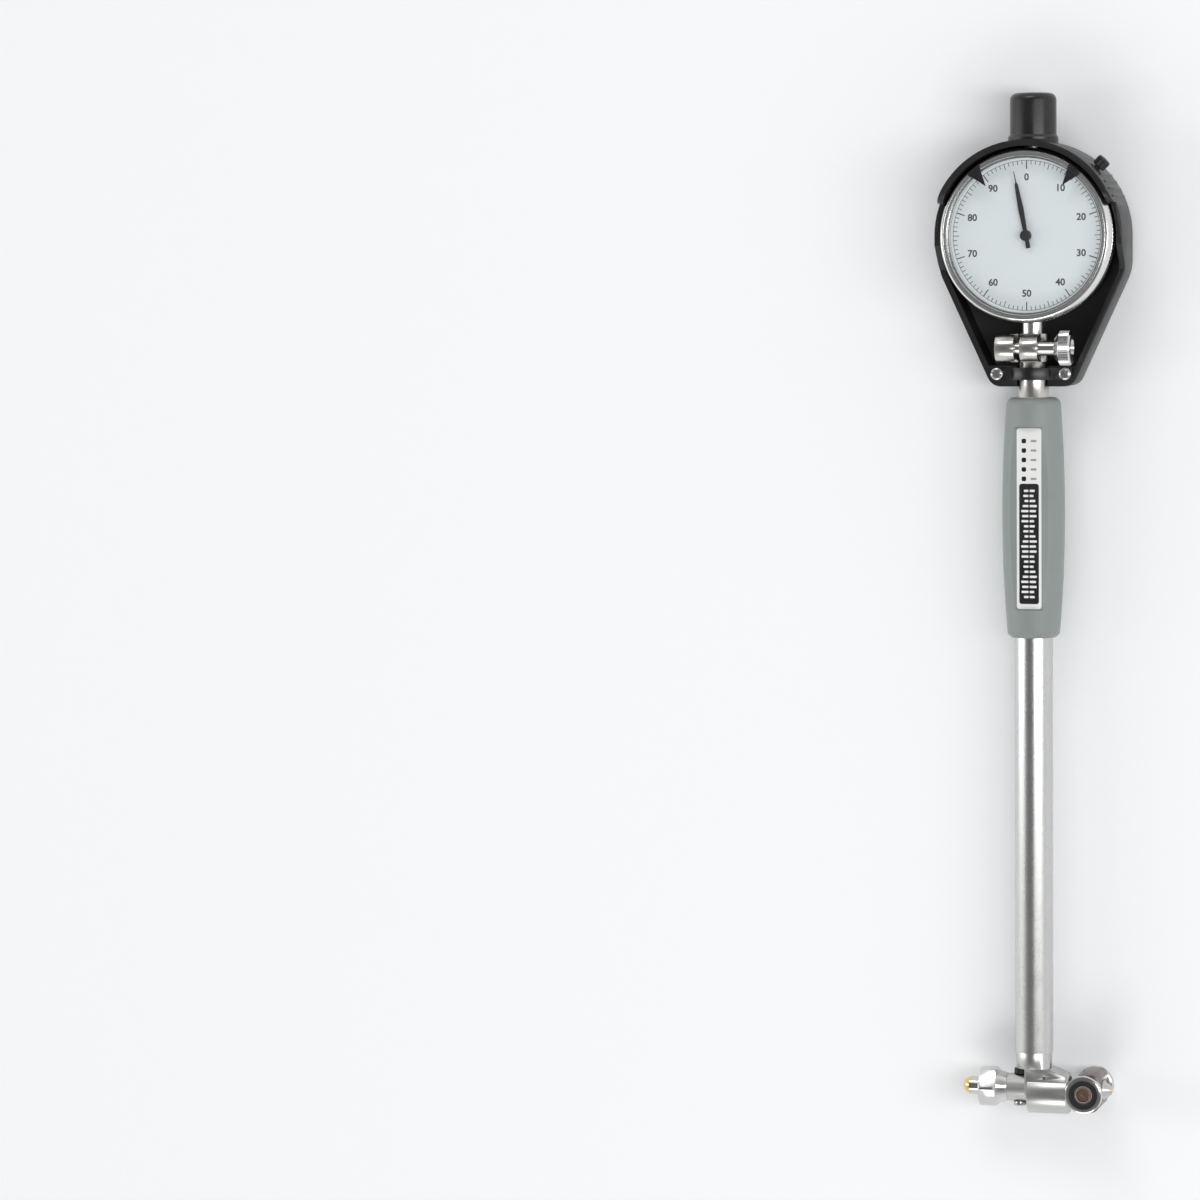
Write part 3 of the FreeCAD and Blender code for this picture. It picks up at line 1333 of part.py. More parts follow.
def make_head():
    top = s.axis_below_collar
    spigot = s.tube_bore_radius - s.press_gap
    shoulder = prism([
        (-s.neck_left, -s.barrel_drop), (s.neck_slope_end, -s.barrel_drop),
        (s.neck_slope_end, s.neck_slope_top), (s.collar_radius, top), (-s.neck_left, top),
    ], s.neck_half_depth)
    barrel_length = s.barrel_left + s.barrel_right
    barrel = lathe("barrel", [
        (zero, zero), (zero, s.barrel_radius), (barrel_length - s.barrel_edge, s.barrel_radius),
        (barrel_length, s.barrel_radius - s.barrel_edge), (barrel_length, zero),
    ], -s.barrel_left, -s.barrel_drop)
    solid = fuse(
        barrel,
        rod("X", -s.anvil_sleeve_left, -s.barrel_left, s.anvil_sleeve_radius),
        rod("X", -s.nose_left, -s.anvil_sleeve_left, s.nose_radius),
        shoulder,
        rod("Y", top, top + s.collar_length, s.collar_radius),
        rod("Y", top + s.collar_length, top + s.collar_length + s.spigot_length, spigot),
    )
    pin = s.guide_pin_radius + s.running_gap
    pin_bore_end = s.guide_pin_inner - s.guide_travel - s.free_gap
    pin_bores = [rod("X", pin_bore_end, s.barrel_right + 1, pin, (zero, side * s.guide_pin_offset))
                 for side in (-1, 1)]
    pockets = [rod("X", s.guide_spring_pocket_end, s.barrel_right + 1, s.guide_spring_pocket_radius,
                   (zero, side * s.guide_pin_offset)) for side in (-1, 1)]
    holes = fuse(
        rod("X", s.plunger_bore_left, s.barrel_right + 1, s.plunger_radius + s.running_gap),
        rod("X", -s.nose_left - 1, -s.anvil_inner + s.free_gap, s.anvil_radius + s.press_gap),
        rod("Y", zero, top + s.collar_length + s.spigot_length + 1, s.rod_radius + s.running_gap * 2),
        block((-s.slot_left, -(s.barrel_drop + s.barrel_radius + 1), -s.slot_half_width),
              (s.slot_right, s.slot_top, s.slot_half_width)),
        rod("Z", -s.neck_half_depth - 1, s.neck_half_depth + 1, s.lever_pin_radius + s.press_gap,
            (s.lever_arm, s.lever_arm)),
        rod("Y", -s.anvil_sleeve_radius - 1, s.anvil_sleeve_radius + 1,
            s.anvil_screw_thread + s.press_gap, (-s.anvil_screw_x, zero)),
        *pin_bores, *pockets,
    )
    node(in_head(cut(solid, holes)), "head_body")


def prism(points, half_depth):
    """A flat outline in X and Y, thickened to both sides of the axis plane."""
    body = doc.addObject("PartDesign::Body", "Outline")
    sketch = sketch_on(body, "XY_Plane")
    draw(sketch, points)
    pad(body, sketch, 2 * half_depth, "Symmetric")
    return body


def make_anvil():
    length = s.anvil_left - s.anvil_inner
    turned("anvil", [
        (zero, zero), (zero, s.anvil_radius), (length, s.anvil_radius), (length, zero),
    ], -s.anvil_inner, measuring_y, s.axis_height, "-X")
    turned("anvil_tip", [
        (zero, zero), (zero, s.anvil_radius), (s.anvil_dome_start, s.anvil_radius, -s.anvil_dome_radius),
        (s.anvil_dome, zero),
    ], -s.anvil_left, measuring_y, s.axis_height, "-X")
    inside = s.nose_radius + s.seat_gap
    front = s.anvil_radius + s.seat_gap
    round_part = new_body("nut_blank")
    sketch = sketch_on(round_part, "XY_Plane")
    end = s.nut_length
    draw(sketch, [
        (zero, inside), (zero, s.anvil_sleeve_radius), (s.nut_cone_length, s.nut_cone_radius),
        (s.nut_cone_length, s.nut_corner_radius - s.nut_chamfer),
        (s.nut_cone_length + s.nut_chamfer, s.nut_corner_radius),
        (end - s.nut_chamfer, s.nut_corner_radius), (end, s.nut_corner_radius - s.nut_chamfer),
        (end, front), (end - s.nut_front, front), (end - s.nut_front, inside),
    ])
    revolve(round_part, sketch)
    prism_part = doc.addObject("Part::Prism", "Hexagon")
    prism_part.Polygon = 6
    bind(prism_part, "Circumradius", s.nut_flats / 2 / cosine(s.nut_half_side_angle))
    bind(prism_part, "Height", end)
    prism_part.Circumradius = (s.nut_flats / 2 / cosine(s.nut_half_side_angle)).number
    prism_part.Height = end.number
    prism_part.Placement.Rotation = ALONG["X"]
    node(place(common(round_part, prism_part), -s.anvil_sleeve_left - s.seat_gap, measuring_y,
               s.axis_height, TOWARDS["-X"]), "anvil_nut")
    seat = s.anvil_sleeve_radius + s.press_gap
    inner = s.anvil_radius + s.seat_gap
    for label, radius, height, direction in (
            ("anvil_lock_screw", s.anvil_screw_head_radius, s.anvil_screw_head_height, 1),
            ("anvil_stop_screw", s.stop_screw_head_radius, s.stop_screw_head_height, -1)):
        ends = (seat, seat + height) if direction == 1 else (-seat - height, -seat)
        thread = (inner, seat) if direction == 1 else (-seat, -inner)
        across = (-s.anvil_screw_x, zero)
        node(in_head(fuse(rod("Y", *ends, radius, across),
                          rod("Y", *thread, s.anvil_screw_thread, across))), label)


def make_lever():
    arm = s.lever_arm
    low, high = -s.lever_half_thickness, s.lever_half_thickness
    crank = fuse(
        rod("Z", low, high, s.lever_hub_radius, (arm, arm)),
        rod("Z", low, high, s.lever_tip_radius, (zero, arm)),
        rod("Z", low, high, s.lever_tip_radius, (arm, zero)),
        block((zero, arm - s.lever_arm_half_width, low), (arm, arm + s.lever_arm_half_width, high)),
        block((arm - s.lever_arm_half_width, zero, low), (arm + s.lever_arm_half_width, arm, high)),
    )
    node(in_head(cut(crank, rod("Z", low - 1, high + 1, s.lever_pin_radius + s.running_gap, (arm, arm)))),
         "bell_crank")
    node(in_head(group(rod("Z", -s.lever_pin_half_length, s.lever_pin_half_length, s.lever_pin_radius,
                           (arm, arm)))), "lever_pin")


def make_plunger():
    start = lever_reach
    insert = s.contact_radius + s.press_gap
    turned("contact_plunger", [
        (zero, zero), (zero, s.plunger_nib_radius),
        (s.plunger_nib_length, s.plunger_nib_radius),
        (s.plunger_nib_length, s.plunger_radius),
        (s.plunger_shoulder - start, s.plunger_radius),
        (s.plunger_shoulder + s.plunger_nose_radius - s.plunger_radius - start, s.plunger_nose_radius),
        (s.plunger_cone_start - start, s.plunger_nose_radius),
        (s.plunger_end - start, s.plunger_end_radius),
        (s.plunger_end - start, insert),
        (s.plunger_end - s.contact_depth - start, insert),
        (s.plunger_end - s.contact_depth - start, zero),
    ], start, measuring_y, s.axis_height)
    tip_start = s.plunger_end - s.contact_depth + s.press_gap
    dome = s.contact_end - s.plunger_end
    turned("contact_tip", [
        (zero, zero), (zero, s.contact_radius), (s.plunger_end - tip_start, s.contact_radius,
                                                 -(s.contact_radius * s.contact_radius / dome / 2 + dome / 2)),
        (s.contact_end - tip_start, zero),
    ], tip_start, measuring_y, s.axis_height)


def make_bridge():
    body = new_body("guide_bridge")
    sketch = sketch_on(body, "XY_Plane")
    height = s.bridge_half_height
    draw(sketch, [(s.bridge_left, -height), (s.bridge_right, -height),
                  (s.bridge_right, height), (s.bridge_left, height)])
    pad(body, sketch, 2 * s.bridge_half_depth, "Symmetric")
    blend_edges(body, "Fillet", s.bridge_round,
                lambda e: abs(e.tangentAt(e.FirstParameter).z) > 0.99)
    hole_along(body, s.bridge_left - 1, zero, zero, ALONG["X"], s.plunger_nose_radius + s.seat_gap * 3,
               s.bridge_right - s.bridge_left + 2)
    for side in (-1, 1):
        hole_along(body, s.bridge_left - 1, zero, side * s.guide_pin_offset, ALONG["X"],
                   s.guide_pin_radius + s.press_gap, s.guide_pin_seat + 1)
        face = s.bridge_half_depth if side == 1 else -s.bridge_half_depth + s.axle_seat
        hole_along(body, s.wheel_x, zero, face - s.axle_seat if side == 1 else face,
                   Rotation() if side == 1 else Rotation(Vector(1, 0, 0), 180),
                   s.axle_radius + s.press_gap, s.axle_seat + 1)
    place(body, zero, measuring_y, s.axis_height)
    node(body, "guide_bridge")
    node(in_head(group(*[
        rod("X", s.guide_pin_inner, s.bridge_left + s.guide_pin_seat, s.guide_pin_radius,
            (zero, side * s.guide_pin_offset)) for side in (-1, 1)])), "guide_pins")
    spring_start = s.guide_spring_pocket_end + s.running_gap
    spring_end = s.bridge_left - s.running_gap
    springs = [coil(s.guide_spring_radius, s.guide_spring_wire, spring_end - spring_start,
                    s.guide_spring_turns, spring_start, zero, side * s.guide_pin_offset, "X")
               for side in (-1, 1)]
    node(in_head(group(*springs)), "guide_springs")

    # Wheels turn on headed axles pressed into the ends of the bridge
    inner = s.bridge_half_depth + s.seat_gap * 2
    bore = s.axle_radius + s.running_gap
    head = s.axle_head_radius + s.seat_gap * 3
    width = s.wheel_width
    outline = [
        (zero, bore), (zero, s.wheel_radius - s.wheel_edge),
        (s.wheel_edge, s.wheel_radius), (width - s.wheel_edge, s.wheel_radius),
        (width, s.wheel_radius - s.wheel_edge), (width, s.wheel_ring_inner),
        (width - s.wheel_groove, s.wheel_ring_inner), (width - s.wheel_groove, s.wheel_hub_outer),
        (width, s.wheel_hub_outer), (width, head), (width - s.wheel_head_recess, head),
        (width - s.wheel_head_recess, bore),
    ]
    for label, side, towards in (("front_wheel", 1, "+Z"), ("rear_wheel", -1, "-Z")):
        turned(label, outline, s.wheel_x, measuring_y, s.axis_height + side * inner, towards)
    head_face = inner + width - s.wheel_head_recess + s.seat_gap
    axles = []
    for side in (-1, 1):
        seat = s.bridge_half_depth - s.axle_seat
        shank = (seat, head_face) if side == 1 else (-head_face, -seat)
        cap = (head_face, head_face + s.axle_head_height) if side == 1 else (
            -head_face - s.axle_head_height, -head_face)
        axles.append(fuse(rod("Z", *shank, s.axle_radius, (s.wheel_x, zero)),
                          rod("Z", *cap, s.axle_head_radius, (s.wheel_x, zero))))
    node(in_head(group(*axles)), "wheel_axles")


# build, check and write

make_cover()
make_strap()
make_top_cap()
make_holder()
make_clamp_screw()
make_grip()
make_tube()
make_rod_parts()
make_case()
make_case_back()
make_bezel()
make_marker("left_marker", s.marker_angle)
make_marker("right_marker", -s.marker_angle)
make_bezel_lock()
make_movement()
make_pointer()
make_head()
make_anvil()
make_lever()
make_plunger()
make_bridge()
doc.recompute()

for item in doc.Objects:
    if {"Invalid", "Error"} & set(item.State):
        raise RuntimeError("%s (%s) failed to build: %s" % (item.Label, item.Name, item.State))
for item in nodes:
    shape = item.Shape
    if shape.isNull() or not shape.isValid() or not shape.Solids:
        raise RuntimeError("%s has no sound solid" % item.Label)

os.makedirs("parts", exist_ok=True)
for item in nodes:
    item.Shape.exportStep(os.path.join("parts", item.Label + ".step"))
print("%d sub-parts, measuring axis at y = %.2f" % (len(nodes), measuring_y.number))
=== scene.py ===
import json
import math

import bpy
from mathutils import Matrix, Vector


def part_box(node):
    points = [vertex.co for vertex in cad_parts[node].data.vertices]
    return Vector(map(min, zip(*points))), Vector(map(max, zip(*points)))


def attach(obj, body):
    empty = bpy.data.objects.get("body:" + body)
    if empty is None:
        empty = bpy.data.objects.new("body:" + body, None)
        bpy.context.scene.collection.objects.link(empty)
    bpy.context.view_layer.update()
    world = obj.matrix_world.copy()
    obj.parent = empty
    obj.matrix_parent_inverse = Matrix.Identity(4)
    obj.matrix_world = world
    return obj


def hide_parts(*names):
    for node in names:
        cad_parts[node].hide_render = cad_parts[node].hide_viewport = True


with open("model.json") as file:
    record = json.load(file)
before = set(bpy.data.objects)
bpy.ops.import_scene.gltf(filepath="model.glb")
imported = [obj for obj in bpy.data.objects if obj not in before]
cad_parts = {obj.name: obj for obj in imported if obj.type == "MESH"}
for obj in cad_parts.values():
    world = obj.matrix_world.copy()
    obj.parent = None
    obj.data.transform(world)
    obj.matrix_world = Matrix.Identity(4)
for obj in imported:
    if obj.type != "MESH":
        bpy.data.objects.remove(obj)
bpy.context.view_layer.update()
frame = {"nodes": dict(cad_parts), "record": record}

nodes = frame["nodes"]
bodyOf = {name: body for body, names in frame["record"]["behaviour"]["bodies"].items() for name in names}
slotOf = {part["node"]: part["material_slot"] for part in frame["record"]["subparts"]}
mm = 0.001


def middle(name):
    low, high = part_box(name)
    return (low + high) / 2


def spread(name):
    low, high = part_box(name)
    return high - low


# Places that the pieces share, all read from the solids
dialCentre = middle("bezel")
axisZ = middle("main_tube").z
measuringY = middle("anvil").y
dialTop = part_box("dial_face")[1].z
print("frame loaded:", len(nodes), "nodes")


# Camera, floor and light

viewSettings = {
    "place": (0.3008, -0.0089, 1.5981),       # metres
    "turn": (-4.026, 15.793, -0.429),         # degrees
    "lens": 146.65,                           # millimetres on a 36 mm sensor
}

stageSettings = {
    "floorSize": 8.0,
    "floorColor": (0.94, 0.95, 0.96),
    "wallLight": 0.85,                        # light of the surroundings near the floor
    "ceilingLight": 0.16,                     # and straight above
    "wallTop": 0.35,                          # height, as a share, where the walls start to darken
    "ceilingEdge": 0.92,
    "backdrop": (0.93, 0.94, 0.95, 1.0),
}

lampSettings = {                              # place, width, length, watts
    "rightStrip": ((0.95, -0.10, 1.30), 0.40, 1.5, 10.0),
    "leftLow": ((-1.35, -0.12, 0.40), 0.30, 1.5, 4.5),
    "backPanel": ((-0.25, 1.25, 1.05), 0.9, 0.5, 5.5),
    "frontPanel": ((-0.10, -1.35, 1.05), 0.9, 0.5, 5.0),
}


def buildCamera():
    data = bpy.data.cameras.new("mainView")
    data.lens = viewSettings["lens"]
    data.sensor_width = 36.0
    data.clip_start, data.clip_end = 0.05, 30.0
    camera = bpy.data.objects.new("mainView", data)
    camera.location = viewSettings["place"]
    camera.rotation_euler = [math.radians(angle) for angle in viewSettings["turn"]]
    bpy.context.scene.collection.objects.link(camera)
    bpy.context.scene.camera = camera


def buildLamps():
    target = Vector((0.0, -0.12, axisZ))
    for name, (place, width, length, watts) in lampSettings.items():
        data = bpy.data.lights.new(name, "AREA")
        data.shape = "RECTANGLE"
        data.size, data.size_y = width, length
        data.energy = watts
        lamp = bpy.data.objects.new(name, data)
        lamp.location = place
        lamp.rotation_euler = (target - Vector(place)).to_track_quat("-Z", "Y").to_euler()
        bpy.context.scene.collection.objects.link(lamp)


# Shader maths

class Wire:
    # A node's output that can stand in a sum

    def __init__(self, finish, socket):
        self.finish = finish
        self.socket = socket

    def apply(self, operation, *others):
        return self.finish.node("ShaderNodeMath", {"operation": operation}, self, *others)

    def __add__(self, other):
        return self.apply("ADD", other)

    def __mul__(self, other):
        return self.apply("MULTIPLY", other)

    def __sub__(self, other):
        return self.apply("SUBTRACT", other)

    def __rsub__(self, other):
        return self.finish.node("ShaderNodeMath", {"operation": "SUBTRACT"}, other, self)

    __radd__ = __add__
    __rmul__ = __mul__


class Finish:
    # One material; what is the same all over is set on the shader's own sockets

    def __init__(self, name, color, roughness, **constants):
        self.material = bpy.data.materials.new(name)
        self.material.use_nodes = True
        self.tree = self.material.node_tree
        self.shader = self.tree.nodes["Principled BSDF"]
        self.color = (*color, 1.0)
        self.shader.inputs["Base Color"].default_value = self.color
        self.shader.inputs["Roughness"].default_value = roughness
        for socket, value in constants.items():
            self.shader.inputs[socket.replace("_", " ")].default_value = value

    def node(self, kind, settings, *values, **named):
        made = self.tree.nodes.new(kind)
        for key, value in settings.items():
            if key == "stops":
                for stop, (place, shade) in zip(made.color_ramp.elements, value):
                    stop.position, stop.color = place, (shade, shade, shade, 1.0)
            else:
                setattr(made, key, value)
        for socket, value in [*enumerate(values), *named.items()]:
            if isinstance(value, Wire):
                self.tree.links.new(value.socket, made.inputs[socket])
            else:
                made.inputs[socket].default_value = value
        return Wire(self, made.outputs[0])

    def feed(self, socket, wire):
        self.tree.links.new(wire.socket, self.shader.inputs[socket])

    def position(self, scale=(1.0, 1.0, 1.0), centre=(0.0, 0.0, 0.0)):
        made = self.tree.nodes.new("ShaderNodeTexCoord")
        place = Wire(self, made.outputs["Object"])
        moved = self.node("ShaderNodeVectorMath", {"operation": "SUBTRACT"}, place, centre)
        return self.node("ShaderNodeVectorMath", {"operation": "MULTIPLY"}, moved, scale)

    def noise(self, place, size, detail=3.0):
        # size is that of one grain, in millimetres
        return self.node("ShaderNodeTexNoise", {}, Vector=place, Scale=1000.0 / size, Detail=detail)

    def ramp(self, wire, low, high):
        return self.node("ShaderNodeValToRGB", {"stops": [(low, 0.0), (high, 1.0)]}, wire)

    def tint(self, factor, other):
        mixed = self.node("ShaderNodeMix", {"data_type": "RGBA"}, factor)
        inputs = [socket for socket in mixed.socket.node.inputs if socket.type == "RGBA"]
        inputs[0].default_value, inputs[1].default_value = self.color, (*other, 1.0)
        outputs = [socket for socket in mixed.socket.node.outputs if socket.type == "RGBA"]
        self.feed("Base Color", Wire(self, outputs[0]))

    def bump(self, height, strength, depth):
        # depth is the height of the relief, in millimetres
        self.feed("Normal", self.node("ShaderNodeBump", {}, Strength=strength,
                                      Distance=depth * mm, Height=height))


finishSettings = {
    "coverGrain": 0.32,                        # sizes of grain and streak, in millimetres
    "gripGrain": 0.22,
    "streakWidth": 0.07,
    "smudge": 9.0,
}


def mouldedPlastic(name, color, roughness, grain, relief, mottled):
    finish = Finish(name, color, roughness, Specular_IOR_Level=0.45)
    place = finish.position()
    speckle = finish.noise(place, grain, 4.0)
    cloud = finish.noise(place, finishSettings["smudge"], 2.0)
    finish.feed("Roughness", finish.ramp(cloud, 0.25, 0.8) * 0.10 + (roughness - 0.05))
    finish.tint(cloud, mottled)
    finish.bump(speckle, 0.35, relief)
    return finish.material


def groundMetal(name, color, roughness, stretch, dulled, streak=0.5):
    # stretch tells along which axis the tool marks run
    finish = Finish(name, color, roughness, Metallic=1.0)
    marks = finish.noise(finish.position(stretch), finishSettings["streakWidth"], 2.0)
    cloud = finish.noise(finish.position(), finishSettings["smudge"], 3.0)
    finish.feed("Roughness", marks * 0.10 * streak + cloud * 0.12 + (roughness - 0.08))
    finish.tint(cloud * 0.6 + marks * 0.25, dulled)
    finish.bump(marks, 0.25 * streak, 0.01)
    return finish.material


def turnedMetal(name, color, roughness, centre, across, dulled):
    # rings round an axis; across holds 1 for the two directions that lie across the axis
    finish = Finish(name, color, roughness, Metallic=1.0)
    away = finish.position(across, centre)
    radius = finish.tree.nodes.new("ShaderNodeVectorMath")
    radius.operation = "LENGTH"
    finish.tree.links.new(away.socket, radius.inputs[0])
    distance = Wire(finish, radius.outputs["Value"])
    rings = finish.node("ShaderNodeTexNoise", {"noise_dimensions": "1D"}, W=distance,
                        Scale=1000.0 / 0.18, Detail=2.0)
    cloud = finish.noise(finish.position(), finishSettings["smudge"], 2.0)
    finish.feed("Roughness", rings * 0.08 + cloud * 0.10 + (roughness - 0.07))
    finish.tint(rings * 0.3 + cloud * 0.4, dulled)
    finish.bump(rings, 0.2, 0.012)
    return finish.material


def printedDial(name, color):
    finish = Finish(name, color, 0.55, Specular_IOR_Level=0.3)
    fine = finish.noise(finish.position(), 0.15, 2.0)
    finish.feed("Roughness", fine * 0.08 + 0.5)
    finish.tint(finish.noise(finish.position(), 12.0, 1.0) * 0.5, tuple(0.93 * part for part in color))
    finish.bump(fine, 0.1, 0.004)
    return finish.material


def clearPlastic(name):
    finish = Finish(name, (0.20, 0.21, 0.22), 0.03, Alpha=0.04, IOR=1.49)
    wear = finish.noise(finish.position(), finishSettings["smudge"], 3.0)
    finish.feed("Roughness", wear * 0.04 + 0.015)
    return finish.material


def buildStage():
    deselect()
    bpy.ops.mesh.primitive_plane_add(size=stageSettings["floorSize"], location=(0.0, -0.12, -0.0002))
    floor = bpy.context.object
    floor.name = "floor"
    color = stageSettings["floorColor"]
    finish = Finish("floorPaper", color, 0.75, Specular_IOR_Level=0.1)
    finish.tint(finish.noise(finish.position(), 900.0, 1.0) * 0.4, tuple(0.985 * part for part in color))
    floor.data.materials.append(finish.material)
    buildWorld()


def buildWorld():
    # pale walls that darken towards the ceiling; the camera itself sees a plain backdrop
    world = bpy.data.worlds.new("studio")
    bpy.context.scene.world = world
    world.use_nodes = True
    tree = world.node_tree
    make, link = tree.nodes.new, tree.links.new
    parts = make("ShaderNodeSeparateXYZ")
    link(make("ShaderNodeTexCoord").outputs["Generated"], parts.inputs[0])
    ramp = make("ShaderNodeValToRGB")
    link(parts.outputs["Z"], ramp.inputs[0])
    ends = (("wallTop", "wallLight"), ("ceilingEdge", "ceilingLight"))
    for stop, (place, light) in zip(ramp.color_ramp.elements, ends):
        stop.position = stageSettings[place]
        stop.color = (*[stageSettings[light]] * 3, 1.0)
    room, shown = tree.nodes["Background"], make("ShaderNodeBackground")
    link(ramp.outputs[0], room.inputs["Color"])
    shown.inputs["Color"].default_value = stageSettings["backdrop"]
    mix = make("ShaderNodeMixShader")
    link(make("ShaderNodeLightPath").outputs["Is Camera Ray"], mix.inputs[0])
    link(room.outputs[0], mix.inputs[1])
    link(shown.outputs[0], mix.inputs[2])
    link(mix.outputs[0], tree.nodes["World Output"].inputs["Surface"])
    bpy.context.scene.view_settings.view_transform = "Standard"


# Tools for making pieces

def deselect():
    if bpy.context.object and bpy.context.object.mode != "OBJECT":
        bpy.ops.object.mode_set(mode="OBJECT")
    bpy.ops.object.select_all(action="DESELECT")


def activate(piece):
    deselect()
    piece.select_set(True)
    bpy.context.view_layer.objects.active = piece


def settle(piece):
    activate(piece)
    bpy.ops.object.transform_apply(location=True, rotation=True, scale=True)


def smooth(piece, angle=32.0):
    activate(piece)
    bpy.ops.object.shade_smooth_by_angle(angle=math.radians(angle))


def soften(piece, width, segments=2, angle=35.0):
    activate(piece)
    bevel = piece.modifiers.new("softEdges", "BEVEL")
    bevel.width = width * mm
    bevel.segments = segments
    bevel.limit_method = "ANGLE"
    bevel.angle_limit = math.radians(angle)
    bpy.ops.object.modifier_apply(modifier=bevel.name)
    smooth(piece)


def aim(piece, place, direction):
    # carries the local Z axis to a direction, and the local origin to a place
    piece.rotation_euler = Vector(direction).to_track_quat("Z", "Y").to_euler()
    piece.location = place
    settle(piece)


def turn(name, outline, sides=96, ring=False):
    # a turned piece about the local Z axis, from (height, radius) pairs in millimetres
    deselect()
    height, radius = outline[0]
    bpy.ops.mesh.primitive_circle_add(vertices=sides, radius=radius * mm, location=(0, 0, height * mm))
    piece = bpy.context.object
    piece.name = name
    bpy.ops.object.mode_set(mode="EDIT")
    bpy.ops.mesh.select_all(action="SELECT")
    for nextHeight, nextRadius in outline[1:]:
        bpy.ops.mesh.extrude_edges_move(
            TRANSFORM_OT_translate={"value": (0, 0, (nextHeight - height) * mm)})
        share = nextRadius / radius
        bpy.ops.transform.resize(value=(share, share, 1.0))
        height, radius = nextHeight, nextRadius
    if ring:
        bpy.ops.mesh.select_all(action="DESELECT")
        bpy.ops.mesh.select_non_manifold()
        bpy.ops.mesh.bridge_edge_loops()
    else:
        bpy.ops.mesh.edge_face_add()
        bpy.ops.mesh.select_all(action="DESELECT")
        bpy.ops.mesh.select_non_manifold()
        bpy.ops.mesh.edge_face_add()
    bpy.ops.mesh.select_all(action="SELECT")
    bpy.ops.mesh.normals_make_consistent(inside=False)
    bpy.ops.object.mode_set(mode="OBJECT")
    settle(piece)
    return piece


def knurl(piece, low, high, least, depth, sides):
    # presses every second line of points inwards, between two heights and outside a radius
    activate(piece)
    bpy.ops.object.mode_set(mode="EDIT")
    bpy.ops.mesh.select_all(action="DESELECT")
    bpy.ops.object.mode_set(mode="OBJECT")
    step = 2 * math.pi / sides
    for point in piece.data.vertices:
        spot = point.co
        number = round(math.atan2(spot.y, spot.x) / step)
        radius = math.hypot(spot.x, spot.y)
        point.select = (low - 0.01) * mm <= spot.z <= (high + 0.01) * mm and radius > least * mm \
            and number % 2 == 0
        if point.select:
            pressed = radius
    bpy.ops.object.mode_set(mode="EDIT")
    share = 1.0 - depth * mm / pressed
    bpy.ops.transform.resize(value=(share, share, 1.0))
    bpy.ops.object.mode_set(mode="OBJECT")


def slab(name, size, place, rounding=0.0, segments=3):
    # a plate with its upright corners rounded; sizes in millimetres, place in metres
    deselect()
    bpy.ops.mesh.primitive_cube_add(size=1.0, location=place)
    piece = bpy.context.object
    piece.name = name
    piece.scale = [side * mm for side in size]
    settle(piece)
    if rounding:
        bpy.ops.object.mode_set(mode="EDIT")
        bpy.ops.mesh.select_mode(type="EDGE")
        bpy.ops.mesh.select_all(action="DESELECT")
        bpy.ops.object.mode_set(mode="OBJECT")
        for edge in piece.data.edges:
            ends = [piece.data.vertices[index].co for index in edge.vertices]
            edge.select = abs((ends[0] - ends[1]).normalized().z) > 0.9
        bpy.ops.object.mode_set(mode="EDIT")
        bpy.ops.mesh.bevel(offset=rounding * mm, segments=segments, affect="EDGES")
        bpy.ops.mesh.select_mode(type="VERT")
        bpy.ops.object.mode_set(mode="OBJECT")
    return piece


def cutWith(piece, tool):
    activate(piece)
    cut = piece.modifiers.new("cut", "BOOLEAN")
    cut.operation = "DIFFERENCE"
    cut.object = tool
    cut.solver = "EXACT"
    bpy.ops.object.modifier_apply(modifier=cut.name)
    bpy.data.objects.remove(tool)


def joined(name, pieces):
    deselect()
    for piece in pieces:
        piece.select_set(True)
    bpy.context.view_layer.objects.active = pieces[0]
    bpy.ops.object.join()
    pieces[0].name = name
    return pieces[0]


def duplicate(piece, move=(0.0, 0.0, 0.0)):
    copy = bpy.data.objects.new(piece.name, piece.data.copy())
    bpy.context.scene.collection.objects.link(copy)
    copy.location = move
    settle(copy)
    return copy


def rotateAbout(piece, angle, axis, centre):
    activate(piece)
    piece.matrix_world = (Matrix.Translation(centre) @ Matrix.Rotation(angle, 4, axis)
                          @ Matrix.Translation(-Vector(centre)) @ piece.matrix_world)
    settle(piece)


def dressed(name, node, width, segments=2, angle=35.0):
    # the solid's own shape with its edges broken, in place of the plain node
    piece = bpy.data.objects.new(name, nodes[node].data.copy())
    bpy.context.scene.collection.objects.link(piece)
    piece.data.materials.clear()
    activate(piece)
    bpy.ops.mesh.customdata_custom_splitnormals_clear()
    bpy.ops.object.mode_set(mode="EDIT")
    bpy.ops.mesh.select_all(action="SELECT")
    bpy.ops.mesh.remove_doubles(threshold=0.002 * mm)
    bpy.ops.mesh.dissolve_limited(angle_limit=math.radians(0.8))
    bpy.ops.object.mode_set(mode="OBJECT")
    if width:
        soften(piece, width, segments, angle)
    else:
        smooth(piece)
    return piece


def finishPiece(piece, material, body, slot, *replaced):
    piece.data.materials.clear()
    piece.data.materials.append(material)
    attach(piece, body)
    if replaced:
        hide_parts(*replaced)
    return piece


def redress(node, material, width, segments=2, angle=35.0):
    words = node.split("_")
    name = words[0] + "".join(word.title() for word in words[1:]) + "Piece"
    return finishPiece(dressed(name, node, width, segments, angle), material, bodyOf[node],
                       slotOf[node], node)


def coat(material, *names):
    for name in names:
        node = nodes[name]
        node.data.materials.clear()
        node.data.materials.append(material)


# The pieces' own materials

